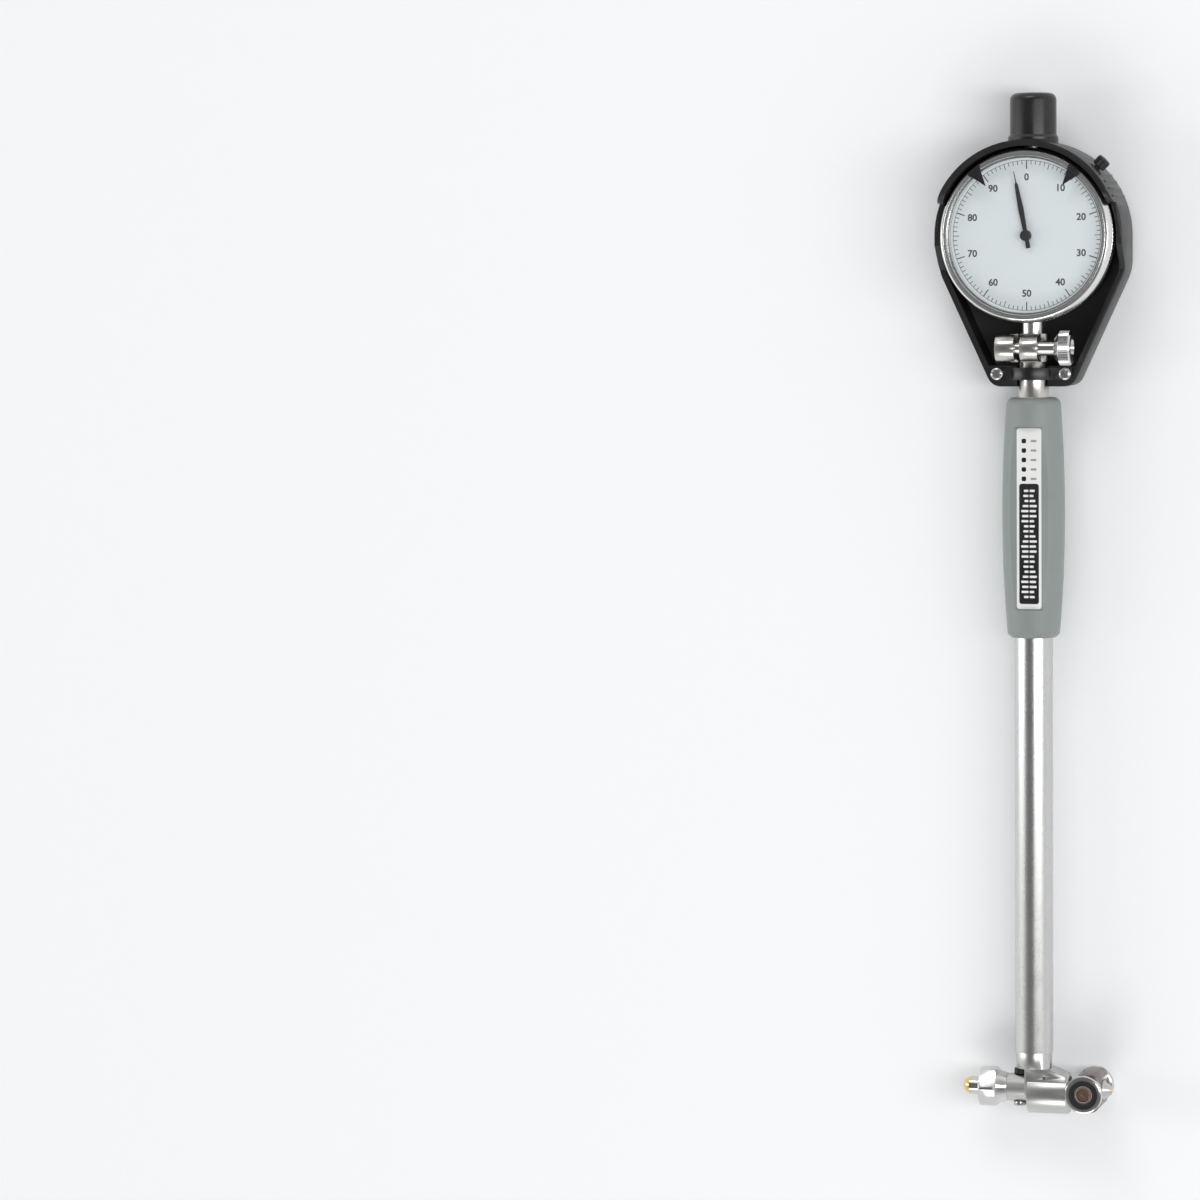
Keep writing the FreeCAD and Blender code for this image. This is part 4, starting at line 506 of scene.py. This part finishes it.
def makeFinishes():
    dialAxis = (dialCentre.x, dialCentre.y, 0.0)
    wheelAxis = (middle("front_wheel").x, measuringY, 0.0)
    tubeAxis = (0.0, 0.0, axisZ)
    headAxis = (0.0, measuringY, axisZ)
    along, sideways, upward = (1.0, 0.02, 1.0), (0.02, 1.0, 1.0), (1.0, 1.0, 0.02)
    return {
        "cover": mouldedPlastic("coverPlastic", (0.010, 0.010, 0.011), 0.36,
                                finishSettings["coverGrain"], 0.015, (0.016, 0.015, 0.015)),
        "cap": mouldedPlastic("capPlastic", (0.012, 0.012, 0.013), 0.26,
                              finishSettings["gripGrain"], 0.006, (0.018, 0.018, 0.018)),
        "grip": mouldedPlastic("gripPlastic", (0.255, 0.28, 0.265), 0.42,
                               finishSettings["gripGrain"], 0.012, (0.235, 0.26, 0.25)),
        "tube": groundMetal("tubeSteel", (0.63, 0.63, 0.62), 0.27, along, (0.55, 0.55, 0.55)),
        "head": groundMetal("headSteel", (0.60, 0.60, 0.59), 0.30, along, (0.50, 0.50, 0.49)),
        "barrel": groundMetal("anvilSteel", (0.66, 0.65, 0.63), 0.20, sideways, (0.56, 0.55, 0.53)),
        "holder": groundMetal("holderSteel", (0.66, 0.65, 0.63), 0.24, along, (0.55, 0.53, 0.50)),
        "stem": turnedMetal("stemSteel", (0.62, 0.62, 0.61), 0.24, tubeAxis, (1, 0, 1),
                            (0.52, 0.52, 0.52)),
        "knob": turnedMetal("knobChrome", (0.74, 0.74, 0.74), 0.16,
                            (0.0, middle("clamp_screw").y, middle("clamp_screw").z), (0, 1, 1),
                            (0.62, 0.62, 0.62)),
        "nut": turnedMetal("nutChrome", (0.72, 0.72, 0.71), 0.15, headAxis, (0, 1, 1),
                           (0.60, 0.60, 0.60)),
        "bezel": turnedMetal("bezelAluminium", (0.80, 0.80, 0.79), 0.22, dialAxis, (1, 1, 0),
                             (0.70, 0.70, 0.70)),
        "case": turnedMetal("caseAluminium", (0.58, 0.58, 0.58), 0.30, dialAxis, (1, 1, 0),
                            (0.48, 0.48, 0.48)),
        "race": turnedMetal("raceSteel", (0.72, 0.72, 0.71), 0.14, wheelAxis, (1, 1, 0),
                            (0.58, 0.58, 0.58)),
        "hub": turnedMetal("hubSteel", (0.66, 0.55, 0.52), 0.20, wheelAxis, (1, 1, 0),
                           (0.50, 0.42, 0.40)),
        "seal": mouldedPlastic("sealRubber", (0.005, 0.005, 0.006), 0.6, 0.2, 0.01,
                               (0.008, 0.008, 0.008)),
        "blackened": groundMetal("blackenedSteel", (0.070, 0.070, 0.073), 0.34, upward,
                                 (0.045, 0.045, 0.048)),
        "bronzed": groundMetal("bronzedSteel", (0.24, 0.205, 0.195), 0.30, upward, (0.15, 0.125, 0.12)),
        "axle": turnedMetal("axleBrass", (0.52, 0.36, 0.29), 0.22, wheelAxis, (1, 1, 0),
                            (0.36, 0.24, 0.19)),
        "carbide": turnedMetal("carbideTip", (0.78, 0.62, 0.34), 0.13, headAxis, (0, 1, 1),
                               (0.66, 0.50, 0.26)),
        "brass": groundMetal("brassPlate", (0.72, 0.54, 0.24), 0.30, upward, (0.60, 0.43, 0.18)),
        "pivot": groundMetal("pivotSteel", (0.60, 0.60, 0.61), 0.22, upward, (0.50, 0.50, 0.51)),
        "spring": groundMetal("springSteel", (0.42, 0.42, 0.43), 0.30, sideways, (0.30, 0.30, 0.31)),
        "dial": printedDial("dialPaint", (0.80, 0.86, 0.87)),
        "ink": mouldedPlastic("dialInk", (0.06, 0.07, 0.075), 0.5, 0.1, 0.002, (0.085, 0.095, 0.10)),
        "needle": mouldedPlastic("needlePaint", (0.006, 0.006, 0.007), 0.45, 0.1, 0.002,
                                 (0.02, 0.02, 0.02)),
        "marker": mouldedPlastic("markerPlastic", (0.014, 0.014, 0.015), 0.25, 0.3, 0.004,
                                 (0.022, 0.022, 0.024)),
        "plate": mouldedPlastic("labelWhite", (0.82, 0.83, 0.82), 0.38, 0.2, 0.003, (0.76, 0.77, 0.76)),
        "faded": mouldedPlastic("labelGrey", (0.30, 0.27, 0.25), 0.4, 0.2, 0.003, (0.36, 0.33, 0.31)),
        "field": mouldedPlastic("labelBlack", (0.012, 0.012, 0.014), 0.30, 0.2, 0.003,
                                (0.02, 0.02, 0.022)),
        "crystal": clearPlastic("crystalClear"),
    }


# Cover, cap and strap

strapScrew = {
    "headRadius": 2.0,
    "headHeight": 1.25,
    "dome": 0.35,
    "slotWidth": 0.6,
    "slotDepth": 0.6,
    "shankRadius": 1.4,
}


def buildCover(finish):
    redress("cover", finish["cover"], 0.35)
    redress("cover_strap", finish["blackened"], 0.2)
    redress("top_cap", finish["cap"], 0.0)
    low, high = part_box("cover_screws")
    radius, height = strapScrew["headRadius"], strapScrew["headHeight"]
    screws = []
    for side in (-1, 1):
        top = high.z / mm
        screw = turn("strapScrew", [
            (low.z / mm, strapScrew["shankRadius"]), (top - height, strapScrew["shankRadius"]),
            (top - height, radius), (top - strapScrew["dome"], radius),
            (top - strapScrew["dome"] * 0.3, radius * 0.82), (top, radius * 0.5),
        ], 48)
        slot = slab("slot", (2 * radius + 1, strapScrew["slotWidth"], 2 * strapScrew["slotDepth"]),
                    (0, 0, high.z))
        rotateAbout(slot, math.radians(35 * side + 20), "Z", (0, 0, 0))
        cutWith(screw, slot)
        screw.location = (side * (high.x - radius * mm), (low.y + high.y) / 2, 0)
        settle(screw)
        soften(screw, 0.08)
        screws.append(screw)
    finishPiece(joined("strapScrews", screws), finish["pivot"], "frame", "satin_steel", "cover_screws")
    print("cover done")


# Holder and clamp screw

clampKnob = {
    "sides": 120,
    "threadRadius": 2.0,
    "threadEnd": 13.65,                       # from the screw's tip
    "tipChamfer": 0.4,
    "shankRadius": 2.5,
    "length": 5.6,
    "backRadius": 3.6,
    "shoulder": 1.5,
    "backEdge": (0.3, 0.35),                  # length and depth of the edge behind the knurl
    "rim": 0.6,
    "knurlDepth": 0.14,
    "chamfer": 0.5,
    "recess": 0.7,
    "recessRadius": 3.2,
    "recessTaper": 0.3,
}


def buildHolder(finish):
    redress("holder", finish["holder"], 0.3)
    low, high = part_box("clamp_screw")
    radius = (high.z - low.z) / 2 / mm
    end = (high.x - low.x) / mm
    shank, thread, threadEnd = clampKnob["shankRadius"], clampKnob["threadRadius"], clampKnob["threadEnd"]
    chamfer, recess = clampKnob["tipChamfer"], clampKnob["recessRadius"]
    edgeLength, edgeDepth = clampKnob["backEdge"]
    knobStart = end - clampKnob["length"]
    shoulder, rim = knobStart + clampKnob["shoulder"], end - clampKnob["rim"]
    knob = turn("clampKnobScrew", [
        (0.0, thread - chamfer), (chamfer, thread), (threadEnd, thread), (threadEnd, shank),
        (knobStart, shank), (knobStart, clampKnob["backRadius"]), (shoulder, radius - edgeDepth),
        (shoulder + edgeLength, radius), (rim, radius), (end, radius - clampKnob["chamfer"]),
        (end, recess), (end - clampKnob["recess"], recess - clampKnob["recessTaper"]),
    ], clampKnob["sides"])
    knurl(knob, shoulder + edgeLength, rim, shank + 1, clampKnob["knurlDepth"], clampKnob["sides"])
    centre = (low + high) / 2
    aim(knob, (low.x, centre.y, centre.z), (1, 0, 0))
    smooth(knob, 25)
    finishPiece(knob, finish["knob"], "stem_clamp", "bright_chrome", "clamp_screw")
    print("holder done")


# Grip, label and tube

label = {
    "flatHeight": 8.0,                        # of the grip's flat, above the tube's axis
    "recessStart": 9.3,                       # from the grip's lower end
    "recessLength": 60.2,
    "width": 8.2,
    "length": 59.4,
    "round": 1.0,
    "thickness": 0.18,
    "fieldWidth": 6.5,
    "fieldLength": 39.5,
    "fieldRound": 0.8,
    "border": 1.7,
    "printThickness": 0.03,
    "markRows": 5,
    "markStart": 4.2,                         # from the plate's upper end
    "markPitch": 3.1,
    "dot": 1.5,
    "dotRound": 0.45,
    "dotAcross": -1.7,
    "dash": (1.9, 0.7),                       # width and height of the grey dashes beside the dots
    "dashAcross": 1.5,
    "strokeRound": 0.2,
    "barRows": 22,
    "barPitch": 1.66,
    "barHeight": 0.75,
    "barGap": 0.2,                            # from the middle line
    "barLengths": (2.4, 1.7, 2.1, 1.3, 2.3, 1.9, 1.5),
}


def buildGrip(finish):
    redress("grip", finish["grip"], 0.35)
    flat = axisZ + label["flatHeight"] * mm
    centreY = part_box("grip")[0].y + (label["recessStart"] + label["recessLength"] / 2) * mm
    thickness = label["thickness"]
    plate = slab("labelPlate", (label["width"], label["length"], thickness),
                 (0, centreY, flat + thickness / 2 * mm), label["round"], 5)
    soften(plate, 0.05)
    finishPiece(plate, finish["plate"], "frame", "grip_grey")
    top = flat + (thickness + label["printThickness"] / 2) * mm
    fieldY = centreY + (-label["length"] / 2 + label["border"] + label["fieldLength"] / 2) * mm
    field = slab("labelField", (label["fieldWidth"], label["fieldLength"], label["printThickness"]),
                 (0, fieldY, top), label["fieldRound"])
    finishPiece(field, finish["field"], "frame", "grip_grey")
    thick = label["printThickness"]
    stroke = label["strokeRound"]
    spot = centreY + (label["length"] / 2 - label["markStart"]) * mm
    dots = [slab("mark", (label["dot"], label["dot"], thick), (label["dotAcross"] * mm, spot, top),
                 label["dotRound"])]
    dashes = [slab("mark", (*label["dash"], thick), (label["dashAcross"] * mm, spot, top), stroke, 2)]
    for number in range(1, label["markRows"]):
        for marks in (dots, dashes):
            marks.append(duplicate(marks[0], (0.0, -number * label["markPitch"] * mm, 0.0)))
    finishPiece(joined("labelDots", dots), finish["field"], "frame", "grip_grey")
    finishPiece(joined("labelDashes", dashes), finish["faded"], "frame", "grip_grey")
    bars = []
    for row in range(label["barRows"]):
        spot = fieldY + ((label["barRows"] - 1) / 2 - row) * label["barPitch"] * mm
        for side in (-1, 1):
            length = label["barLengths"][(row * 2 + side) % len(label["barLengths"])]
            bars.append(slab("bar", (length, label["barHeight"], thick),
                             (side * (label["barGap"] + length / 2) * mm, spot, top + thick * mm),
                             stroke, 2))
    finishPiece(joined("labelBars", bars), finish["plate"], "frame", "grip_grey")
    coat(finish["tube"], "main_tube", "push_rod")
    print("grip done")


# Indicator: case, bezel, crystal and dial

bezelShape = {
    "sides": 288,
    "knurlStart": 0.4,
    "knurlDepth": 0.16,
    "bore": 26.05,
    "shoulder": 4.6,
    "lipInset": 1.0,
    "fit": 0.04,                              # play round the dial and the crystal
    "grooveOuter": 27.0,
    "grooveInner": 26.4,
    "grooveDepth": 0.6,
    "glassDepth": 1.4,
    "ledgeRadius": 24.4,
    "ledgeThickness": 0.75,
}

dialPrint = {
    "thickness": 0.03,
    "tickOuter": 24.3,
    "tickInner": 23.1,                         # every hundredth
    "halfInner": 22.4,                         # every fifth
    "tenInner": 21.6,                          # every tenth
    "tickWidth": 0.22,
    "tenWidth": 0.34,
    "ringWidth": 0.14,
    "numberRadius": 18.9,
    "numberSize": 3.1,
    "numberWeight": 0.09,
}


def buildBezel(finish):
    low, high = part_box("bezel")
    radius = (high.x - low.x) / 2 / mm
    tall = (high.z - low.z) / mm
    lip, shoulder = radius - bezelShape["lipInset"], bezelShape["shoulder"]
    seat = spread("dial_face").x / 2 / mm + bezelShape["fit"]
    glass = spread("crystal").x / 2 / mm + bezelShape["fit"]
    ledge = (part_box("dial_face")[0].z - low.z) / mm
    bore, ledgeRadius = bezelShape["bore"], bezelShape["ledgeRadius"]
    ledgeFoot, glassFoot = ledge - bezelShape["ledgeThickness"], tall - bezelShape["glassDepth"]
    grooveFoot, grooveOuter = tall - bezelShape["grooveDepth"], bezelShape["grooveOuter"]
    grooveInner, edge = bezelShape["grooveInner"], bezelShape["knurlStart"]
    bezel = turn("bezelRing", [
        (0.0, bore), (0.0, radius - edge), (edge, radius), (shoulder, radius),
        (shoulder + 0.15, radius - 0.3), (shoulder + 0.75, radius - 0.3), (shoulder + 0.9, radius - 0.05),
        (tall - 0.5, lip + 0.25), (tall - 0.12, lip - 0.02), (tall, lip - 0.25), (tall, grooveOuter),
        (grooveFoot, grooveOuter), (grooveFoot, grooveInner), (tall, grooveInner),
        (tall - 0.05, glass + 0.1), (tall - 0.2, glass), (glassFoot, glass), (glassFoot, seat),
        (ledge, seat), (ledge, ledgeRadius), (ledgeFoot, ledgeRadius), (ledgeFoot, bore),
    ], bezelShape["sides"], True)
    knurl(bezel, edge, shoulder, radius - 1, bezelShape["knurlDepth"], bezelShape["sides"])
    bezel.location = (dialCentre.x, dialCentre.y, low.z)
    settle(bezel)
    smooth(bezel, 24)
    finishPiece(bezel, finish["bezel"], "bezel_ring", "bezel_bright", "bezel")

    low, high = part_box("crystal")
    outer, thick = (high.x - low.x) / 2 / mm, (high.z - low.z) / mm
    crystal = turn("crystalDisc", [
        (0.0, outer - 0.1), (0.1, outer), (thick - 0.45, outer), (thick - 0.2, outer - 0.25),
        (thick - 0.08, outer - 0.8), (thick, outer - 1.8),
    ], 160)
    crystal.location = (dialCentre.x, dialCentre.y, low.z)
    settle(crystal)
    smooth(crystal, 40)
    finishPiece(crystal, finish["crystal"], "bezel_ring", "crystal", "crystal")
    coat(finish["dial"], "dial_face")
    print("bezel done")


def tick(inner, width):
    length = dialPrint["tickOuter"] - inner
    return slab("tick", (width, length, dialPrint["thickness"]),
                (0, (inner + length / 2) * mm, dialTop + dialPrint["thickness"] / 2 * mm))


def buildDialPrint(finish):
    plain = tick(dialPrint["tickInner"], dialPrint["tickWidth"])
    half = tick(dialPrint["halfInner"], dialPrint["tickWidth"])
    ten = tick(dialPrint["tenInner"], dialPrint["tenWidth"])
    ticks = []
    for number in range(100):
        model = ten if number % 10 == 0 else half if number % 5 == 0 else plain
        mark = duplicate(model)
        rotateAbout(mark, -math.radians(number * 3.6), "Z", (0, 0, 0))
        ticks.append(mark)
    for model in (plain, half, ten):
        bpy.data.objects.remove(model)
    finishPiece(joined("dialTicks", ticks), finish["ink"], "bezel_ring", "needle_black")

    numbers = []
    for number in range(10):
        angle = math.radians(number * 36)
        place = Vector((math.sin(angle), math.cos(angle), 0)) * dialPrint["numberRadius"] * mm
        numbers.append(lettering(str(number * 10), dialPrint["numberSize"], place))
    finishPiece(joined("dialNumbers", numbers), finish["ink"], "bezel_ring", "needle_black")
    ring = turn("dialRing", [
        (0.0, dialPrint["tickOuter"]), (0.0, dialPrint["tickOuter"] + dialPrint["ringWidth"]),
        (dialPrint["thickness"], dialPrint["tickOuter"] + dialPrint["ringWidth"]),
        (dialPrint["thickness"], dialPrint["tickOuter"]),
    ], 160, True)
    ring.location = (0, 0, dialTop)
    settle(ring)
    finishPiece(ring, finish["ink"], "bezel_ring", "needle_black")
    print("dial print done")


def lettering(words, size, place):
    deselect()
    bpy.ops.object.text_add(location=(place.x, place.y, dialTop))
    text = bpy.context.object
    text.data.body = words
    text.data.size = size * mm
    text.data.align_x, text.data.align_y = "CENTER", "CENTER"
    text.data.extrude = dialPrint["thickness"] * mm
    text.data.resolution_u = 4
    text.data.offset = dialPrint["numberWeight"] * mm
    bpy.ops.object.convert(target="MESH")
    text = bpy.context.object
    settle(text)
    return text


lockKnob = {                                  # places are from the dial's centre
    "sides": 36,
    "knurlDepth": 0.18,
    "start": 24.5,
    "shankRadius": 1.0,
    "flange": (26.2, 27.6),
    "flangeRadius": 2.0,
    "knobStart": 31.5,
    "edge": 0.3,
    "tip": 34.8,
    "tipEdge": (0.4, 0.35),                   # length and depth
    "dimple": (1.1, 0.9),                     # radius at the top and at the bottom
}


def buildIndicator(finish):
    coat(finish["case"], "indicator_case", "case_back")
    coat(finish["stem"], "stem", "top_bush")
    coat(finish["pivot"], "case_back_screws")
    redress("pointer", finish["needle"], 0.06)
    redress("pointer_hub", finish["needle"], 0.12)
    redress("left_marker", finish["marker"], 0.08)
    redress("right_marker", finish["marker"], 0.08)

    direction = Vector((1, 1, 0)).normalized()
    low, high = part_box("bezel_lock_screw")
    knobRadius = (high.z - low.z) / 2 / mm
    shank, flange, tip = lockKnob["shankRadius"], lockKnob["flangeRadius"], lockKnob["tip"]
    flangeStart, flangeEnd = lockKnob["flange"]
    knobStart, edge = lockKnob["knobStart"], lockKnob["edge"]
    tipLength, tipDepth = lockKnob["tipEdge"]
    wide, narrow = lockKnob["dimple"]
    screw = turn("lockScrew", [
        (lockKnob["start"], shank), (flangeStart, shank), (flangeStart, flange), (flangeEnd, flange),
        (flangeEnd, shank), (knobStart, shank), (knobStart, knobRadius - edge),
        (knobStart + edge, knobRadius), (tip - tipLength, knobRadius), (tip, knobRadius - tipDepth),
        (tip, wide), (tip - tipLength, narrow),
    ], lockKnob["sides"])
    knurl(screw, knobStart + edge, tip - tipLength, knobRadius - 0.5, lockKnob["knurlDepth"],
          lockKnob["sides"])
    aim(screw, (0, 0, (low.z + high.z) / 2), direction)
    smooth(screw, 25)
    finishPiece(screw, finish["blackened"], "bezel_lock", "dark_steel", "bezel_lock_screw")
    print("indicator done")


# Movement, seen when the gauge is opened

def buildMovement(finish):
    coat(finish["brass"], "movement_plate", "movement_bridge", "movement_pillars", "centre_cock",
         "spindle_guide", "rack_wheel", "take_up_wheel", "rod_bushes", "rod_collar")
    coat(finish["pivot"], "spindle", "spindle_pin", "contact_point", "spring_posts", "rack_arbor",
         "take_up_arbor", "rack_pinion", "centre_pinion", "centre_arbor", "bell_crank", "lever_pin")
    coat(finish["spring"], "hairspring")
    for node in ("rod_spring", "return_spring", "guide_springs"):
        coil = dressed(node.split("_")[0] + "Coil", node, 0.0)
        activate(coil)
        rounding = coil.modifiers.new("round", "SUBSURF")
        rounding.levels = rounding.render_levels = 1
        bpy.ops.object.modifier_apply(modifier=rounding.name)
        smooth(coil, 60)
        finishPiece(coil, finish["spring"], bodyOf[node], "spring_steel", node)
    print("movement done")


# Measuring head

headScrew = {
    "shankRadius": 1.0,
    "lockHead": 1.9,                          # heights of the heads
    "stopHead": 1.7,
    "socketRadius": 1.0,
    "socketDepth": 1.1,
    "slotWidth": 0.6,
    "slotDepth": 0.7,
}

wheelShape = {
    "outer": 6.2,
    "width": 3.0,
    "raceInner": 4.8,
    "hubOuter": 2.95,
    "sealSink": 0.35,
    "hubBore": 1.55,
    "hubRecess": 1.2,
    "hubLip": 2.35,
    "axleStart": 5.95,                        # from the tube's axis
    "axleRadius": 1.49,
    "axleHead": 0.98,
    "axleHeadRadius": 2.2,
    "centreHole": 0.75,
}


def buildHead(finish):
    redress("head_body", finish["head"], 0.3)
    redress("anvil_nut", finish["nut"], 0.15)
    redress("guide_bridge", finish["bronzed"], 0.25)
    redress("contact_plunger", finish["head"], 0.08)
    coat(finish["barrel"], "anvil", "guide_pins")
    coat(finish["carbide"], "anvil_tip", "contact_tip")

    shank = headScrew["shankRadius"]
    low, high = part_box("anvil_lock_screw")
    radius, centre = (high.x - low.x) / 2 / mm, (low + high) / 2
    tall = (high.y - low.y) / mm
    screw = turn("lockingScrew", [
        (0.0, shank), (tall - headScrew["lockHead"], shank), (tall - headScrew["lockHead"], radius),
        (tall - 0.25, radius), (tall, radius - 0.25), (tall, headScrew["socketRadius"]),
        (tall - headScrew["socketDepth"], headScrew["socketRadius"]),
    ], 48)
    aim(screw, (centre.x, low.y, centre.z), (0, 1, 0))
    smooth(screw)
    finishPiece(screw, finish["blackened"], "frame", "dark_steel", "anvil_lock_screw")

    low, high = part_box("anvil_stop_screw")
    radius, centre = (high.x - low.x) / 2 / mm, (low + high) / 2
    tall = (high.y - low.y) / mm
    screw = turn("stopScrew", [
        (0.0, shank), (tall - headScrew["stopHead"], shank), (tall - headScrew["stopHead"], radius),
        (tall - 0.5, radius), (tall - 0.15, radius * 0.85), (tall, radius * 0.5),
    ], 48)
    slot = slab("slot", (2 * radius + 1, headScrew["slotWidth"], 2 * headScrew["slotDepth"]),
                (0, 0, tall * mm))
    cutWith(screw, slot)
    aim(screw, (centre.x, high.y, centre.z), (0, -1, 0))
    soften(screw, 0.08)
    finishPiece(screw, finish["pivot"], "frame", "satin_steel", "anvil_stop_screw")
    print("head done")


def buildWheels(finish):
    outer, width = wheelShape["outer"], wheelShape["width"]
    inner, hub = wheelShape["raceInner"], wheelShape["hubOuter"]
    sink, bore, lip = wheelShape["sealSink"], wheelShape["hubBore"], wheelShape["hubLip"]
    axleRadius, headRadius = wheelShape["axleRadius"], wheelShape["axleHeadRadius"]
    recess, hole = wheelShape["hubRecess"], wheelShape["centreHole"]
    axles = []
    lowAxle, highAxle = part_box("wheel_axles")
    for node, body, side in (("front_wheel", "wheel_front", 1), ("rear_wheel", "wheel_rear", -1)):
        low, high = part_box(node)
        back = low.z if side == 1 else high.z
        race = turn(node.split("_")[0] + "Race", [
            (0.0, inner), (0.0, outer - 0.5), (0.15, outer - 0.15), (0.5, outer), (width - 0.5, outer),
            (width - 0.15, outer - 0.15), (width, outer - 0.5), (width, inner),
        ], 96, True)
        seal = turn(node.split("_")[0] + "Seal", [
            (0.3, hub), (0.3, inner), (width - sink, inner), (width - sink - 0.15, inner - 0.35),
            (width - sink - 0.15, hub + 0.35), (width - sink, hub),
        ], 96, True)
        core = turn(node.split("_")[0] + "Hub", [
            (0.0, bore), (0.0, hub), (width - 0.1, hub), (width, hub - 0.1), (width, lip + 0.1),
            (width - 0.1, lip), (width - recess, lip), (width - recess, bore),
        ], 96, True)
        end = (highAxle.z - axisZ if side == 1 else axisZ - lowAxle.z) / mm
        headStart = end - wheelShape["axleHead"]
        axle = turn("axle", [
            (wheelShape["axleStart"], axleRadius), (headStart, axleRadius), (headStart, headRadius),
            (end - 0.25, headRadius), (end, headRadius - 0.25), (end, hole), (end - 0.6, hole - 0.2),
        ], 64)
        for piece, height in ((race, back), (seal, back), (core, back), (axle, axisZ)):
            aim(piece, ((low.x + high.x) / 2, measuringY, height), (0, 0, side))
            smooth(piece, 30)
        axles.append(axle)
        finishPiece(race, finish["race"], body, slotOf[node], node)
        finishPiece(seal, finish["seal"], body, "black_plastic")
        finishPiece(core, finish["hub"], body, slotOf[node])
    finishPiece(joined("wheelAxles", axles), finish["axle"], "guide", slotOf["wheel_axles"],
                "wheel_axles")
    print("wheels done")


buildCamera()
buildLamps()
buildStage()
finishes = makeFinishes()
buildCover(finishes)
buildHolder(finishes)
buildGrip(finishes)
buildBezel(finishes)
buildDialPrint(finishes)
buildIndicator(finishes)
buildMovement(finishes)
buildHead(finishes)
buildWheels(finishes)
deselect()
